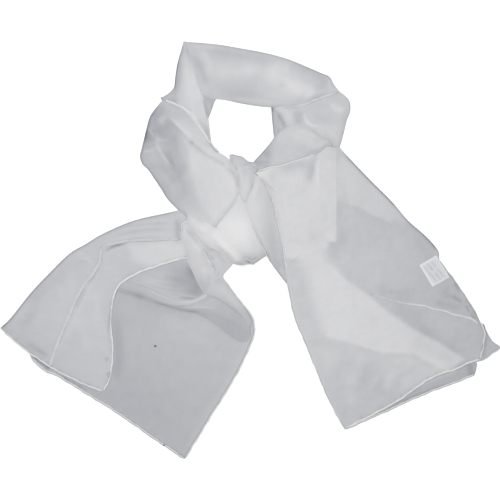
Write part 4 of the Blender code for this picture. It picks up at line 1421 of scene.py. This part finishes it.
class ScarfStage(bpy.types.PropertyGroup):
    """The floor, the lights and the camera."""

    floor_colour: FloatVectorProperty(
        name="Floor", description="Colour of the floor",
        default=(0.95, 0.95, 0.95), min=0.0, max=1.0, size=3, subtype="COLOR")
    view_width: FloatProperty(
        name="View Width", description="Width of floor that the camera sees",
        default=0.75, min=0.1, max=5.0, subtype="DISTANCE", unit="LENGTH")
    lens: FloatProperty(
        name="Lens", description="Focal length of the camera",
        default=100.0, min=20.0, max=300.0, subtype="DISTANCE_CAMERA", unit="CAMERA")
    surround: FloatProperty(
        name="Surround", description="Strength of the light from all round",
        default=0.78, min=0.0, max=5.0)
    overhead: FloatProperty(
        name="Overhead Light", description="Power of the broad light above",
        default=26.0, min=0.0, max=500.0, subtype="POWER", unit="POWER")
    key: FloatProperty(
        name="Key Light", description="Power of the light from the upper left",
        default=13.0, min=0.0, max=500.0, subtype="POWER", unit="POWER")


class SCARF_OT_left_tail(bpy.types.Operator):
    """Lay down the left tail: ground panel, swag, turned panel and strap"""

    bl_idname = "scarf.left_tail"
    bl_label = "Left Tail"

    def execute(self, context):
        make_stretch(GROUND_PANEL, 1)
        make_stretch(SWAG, 2)
        make_stretch(TURNED_PANEL, 3)
        make_stretch(STRAP, 4)
        return {"FINISHED"}


class SCARF_OT_neck_loop(bpy.types.Operator):
    """Lay down the neck loop: under layers, right side, back, left upright and lower right"""

    bl_idname = "scarf.neck_loop"
    bl_label = "Neck Loop"

    def execute(self, context):
        make_stretch(UNDER_NECK_LEFT, 11)
        make_stretch(UNDER_NECK_RIGHT, 12)
        make_stretch(NECK_RIGHT, 13)
        make_stretch(NECK_BACK, 14)
        make_stretch(NECK_LEFT, 15)
        make_stretch(NECK_LOWER, 16)
        return {"FINISHED"}


class SCARF_OT_knot(bpy.types.Operator):
    """Lay down the knot: core, tuck, the stretch over its left and the band below it"""

    bl_idname = "scarf.knot"
    bl_label = "Knot"

    def execute(self, context):
        make_stretch(KNOT_CORE, 21)
        make_stretch(KNOT_TUCK, 22)
        make_stretch(FRONT_LEFT, 23)
        make_stretch(KNOT_BAND, 24)
        return {"FINISHED"}


class SCARF_OT_right_tail(bpy.types.Operator):
    """Lay down the right tail: hidden layers, side strip and top panel"""

    bl_idname = "scarf.right_tail"
    bl_label = "Right Tail"

    def execute(self, context):
        make_stretch(UNDER_PANEL, 31)
        make_stretch(UNDER_CORNER, 32)
        make_stretch(GATHER, 33)
        make_stretch(SIDE_STRIP, 34)
        make_stretch(TOP_PANEL, 35)
        return {"FINISHED"}


class SCARF_OT_trimmings(bpy.types.Operator):
    """Sew on the care label and lay down the flecks of lint"""

    bl_idname = "scarf.trimmings"
    bl_label = "Label and Lint"

    def execute(self, context):
        make_stretch(CARE_LABEL, 41, "label_weave")
        for number, fleck in enumerate(FLECKS):
            self.fleck(f"lint_{number}", fleck)
        return {"FINISHED"}

    def fleck(self, name, fleck):
        """A lentil of lint: a square grid drawn out to an oval, x sqrt(1 - y^2 / 2) by
        y sqrt(1 - x^2 / 2), which stands sqrt(1 - r^2) of its thickness up and down at a
        share r of the way to its rim."""
        side = np.linspace(-1, 1, FLECK_POINTS)
        x, y = np.meshgrid(side, side)
        across, along = x * np.sqrt(1 - y**2 / 2), y * np.sqrt(1 - x**2 / 2)
        plan = np.dstack([fleck.x + 0.5 * fleck.length * across,
                          fleck.y + 0.5 * fleck.width * along])
        row, column = LIE.cell(np.array([fleck.x, fleck.y], float))
        middle = LIE.top[int(round(row)), int(round(column))] + FLECK_LIFT
        dome = FLECK_RIM + FLECK_DOME * np.sqrt(np.clip(1 - across**2 - along**2, 0, 1))
        piece = cloth_solid(
            name, np.dstack([plan, middle - dome]), np.dstack([plan, middle + dome]),
            np.ones(x.shape), plan, material_named("lint"))


class SCARF_OT_stage(bpy.types.Operator):
    """Set the floor, the soft lights and the camera straight above"""

    bl_idname = "scarf.stage"
    bl_label = "Stage"

    def execute(self, context):
        stage = context.scene.scarf_stage
        self.floor(stage)
        self.light("overhead", OVERHEAD_PLACE, OVERHEAD_SIZE, stage.overhead)
        self.light("key", KEY_PLACE, KEY_SIZE, stage.key)
        world = bpy.data.worlds.new("surround")
        world.use_nodes = True
        set_inputs(world.node_tree.nodes["Background"],
                   {"Color": (1, 1, 1, 1), "Strength": stage.surround})
        context.scene.world = world
        data = bpy.data.cameras.new("camera")
        data.lens = stage.lens
        camera = bpy.data.objects.new("camera", data)
        camera.location = (0, 0, stage.view_width * stage.lens / data.sensor_width)
        context.scene.collection.objects.link(camera)
        context.scene.camera = camera
        context.scene.view_settings.view_transform = "Standard"
        return {"FINISHED"}

    def floor(self, stage):
        """A wide flat square under the cloth."""
        x, y = np.meshgrid([-FLOOR_HALF, FLOOR_HALF], [-FLOOR_HALF, FLOOR_HALF])
        points = np.stack([x, y, np.full(x.shape, -FLOOR_DEPTH)], axis=-1).reshape(-1, 3)
        mesh = bpy.data.meshes.new("floor")
        mesh.from_pydata(points.tolist(), [], [(0, 1, 3, 2)])
        material, _, shader = bare_material("floor_paint", MATT, 0.0)
        set_inputs(shader, {"Base Color": (*stage.floor_colour, 1), "Specular IOR Level": 0.0})
        mesh.materials.append(material)
        floor = bpy.data.objects.new("floor", mesh)
        bpy.context.scene.collection.objects.link(floor)

    def light(self, name, place, size, power):
        """A square area light at a place, facing the middle of the floor."""
        data = bpy.data.lights.new(name, "AREA")
        data.size = size
        data.energy = power
        light = bpy.data.objects.new(name, data)
        light.location = place
        flat = float(np.hypot(place[0], place[1]))
        light.rotation_euler = (float(np.arctan2(flat, place[2])), 0,
                                float(np.arctan2(place[1], place[0])) + np.pi / 2 if flat else 0)
        bpy.context.scene.collection.objects.link(light)


class SCARF_PT_panel(bpy.types.Panel):
    """Sizes and colours of the scarf, and the steps that lay it down"""

    bl_label = "Silk Scarf"
    bl_idname = "SCARF_PT_panel"
    bl_space_type = "VIEW_3D"
    bl_region_type = "UI"
    bl_category = "Scarf"

    def draw(self, context):
        scene = context.scene
        for settings in (scene.scarf_cloth, scene.scarf_label, scene.scarf_stage):
            column = self.layout.column(align=True)
            for name in settings.__annotations__:
                column.prop(settings, name)
        for step in STEPS:
            self.layout.operator(step.bl_idname)


STEPS = (SCARF_OT_stage, SCARF_OT_left_tail, SCARF_OT_neck_loop, SCARF_OT_knot,
         SCARF_OT_right_tail, SCARF_OT_trimmings)
CLASSES = (ScarfCloth, ScarfLabel, ScarfStage, *STEPS, SCARF_PT_panel)


def register():
    """Makes the settings, the steps and the panel known to the program."""
    for each in CLASSES:
        bpy.utils.register_class(each)
    bpy.types.Scene.scarf_cloth = PointerProperty(type=ScarfCloth)
    bpy.types.Scene.scarf_label = PointerProperty(type=ScarfLabel)
    bpy.types.Scene.scarf_stage = PointerProperty(type=ScarfStage)


def unregister():
    """Takes away what register has made, in the other order."""
    del bpy.types.Scene.scarf_stage
    del bpy.types.Scene.scarf_label
    del bpy.types.Scene.scarf_cloth
    for each in reversed(CLASSES):
        bpy.utils.unregister_class(each)


def main():
    """Takes every step in turn."""
    register()
    bpy.ops.scarf.stage()
    bpy.ops.scarf.left_tail()
    bpy.ops.scarf.neck_loop()
    bpy.ops.scarf.knot()
    bpy.ops.scarf.right_tail()
    bpy.ops.scarf.trimmings()


if __name__ == "__main__":
    main()
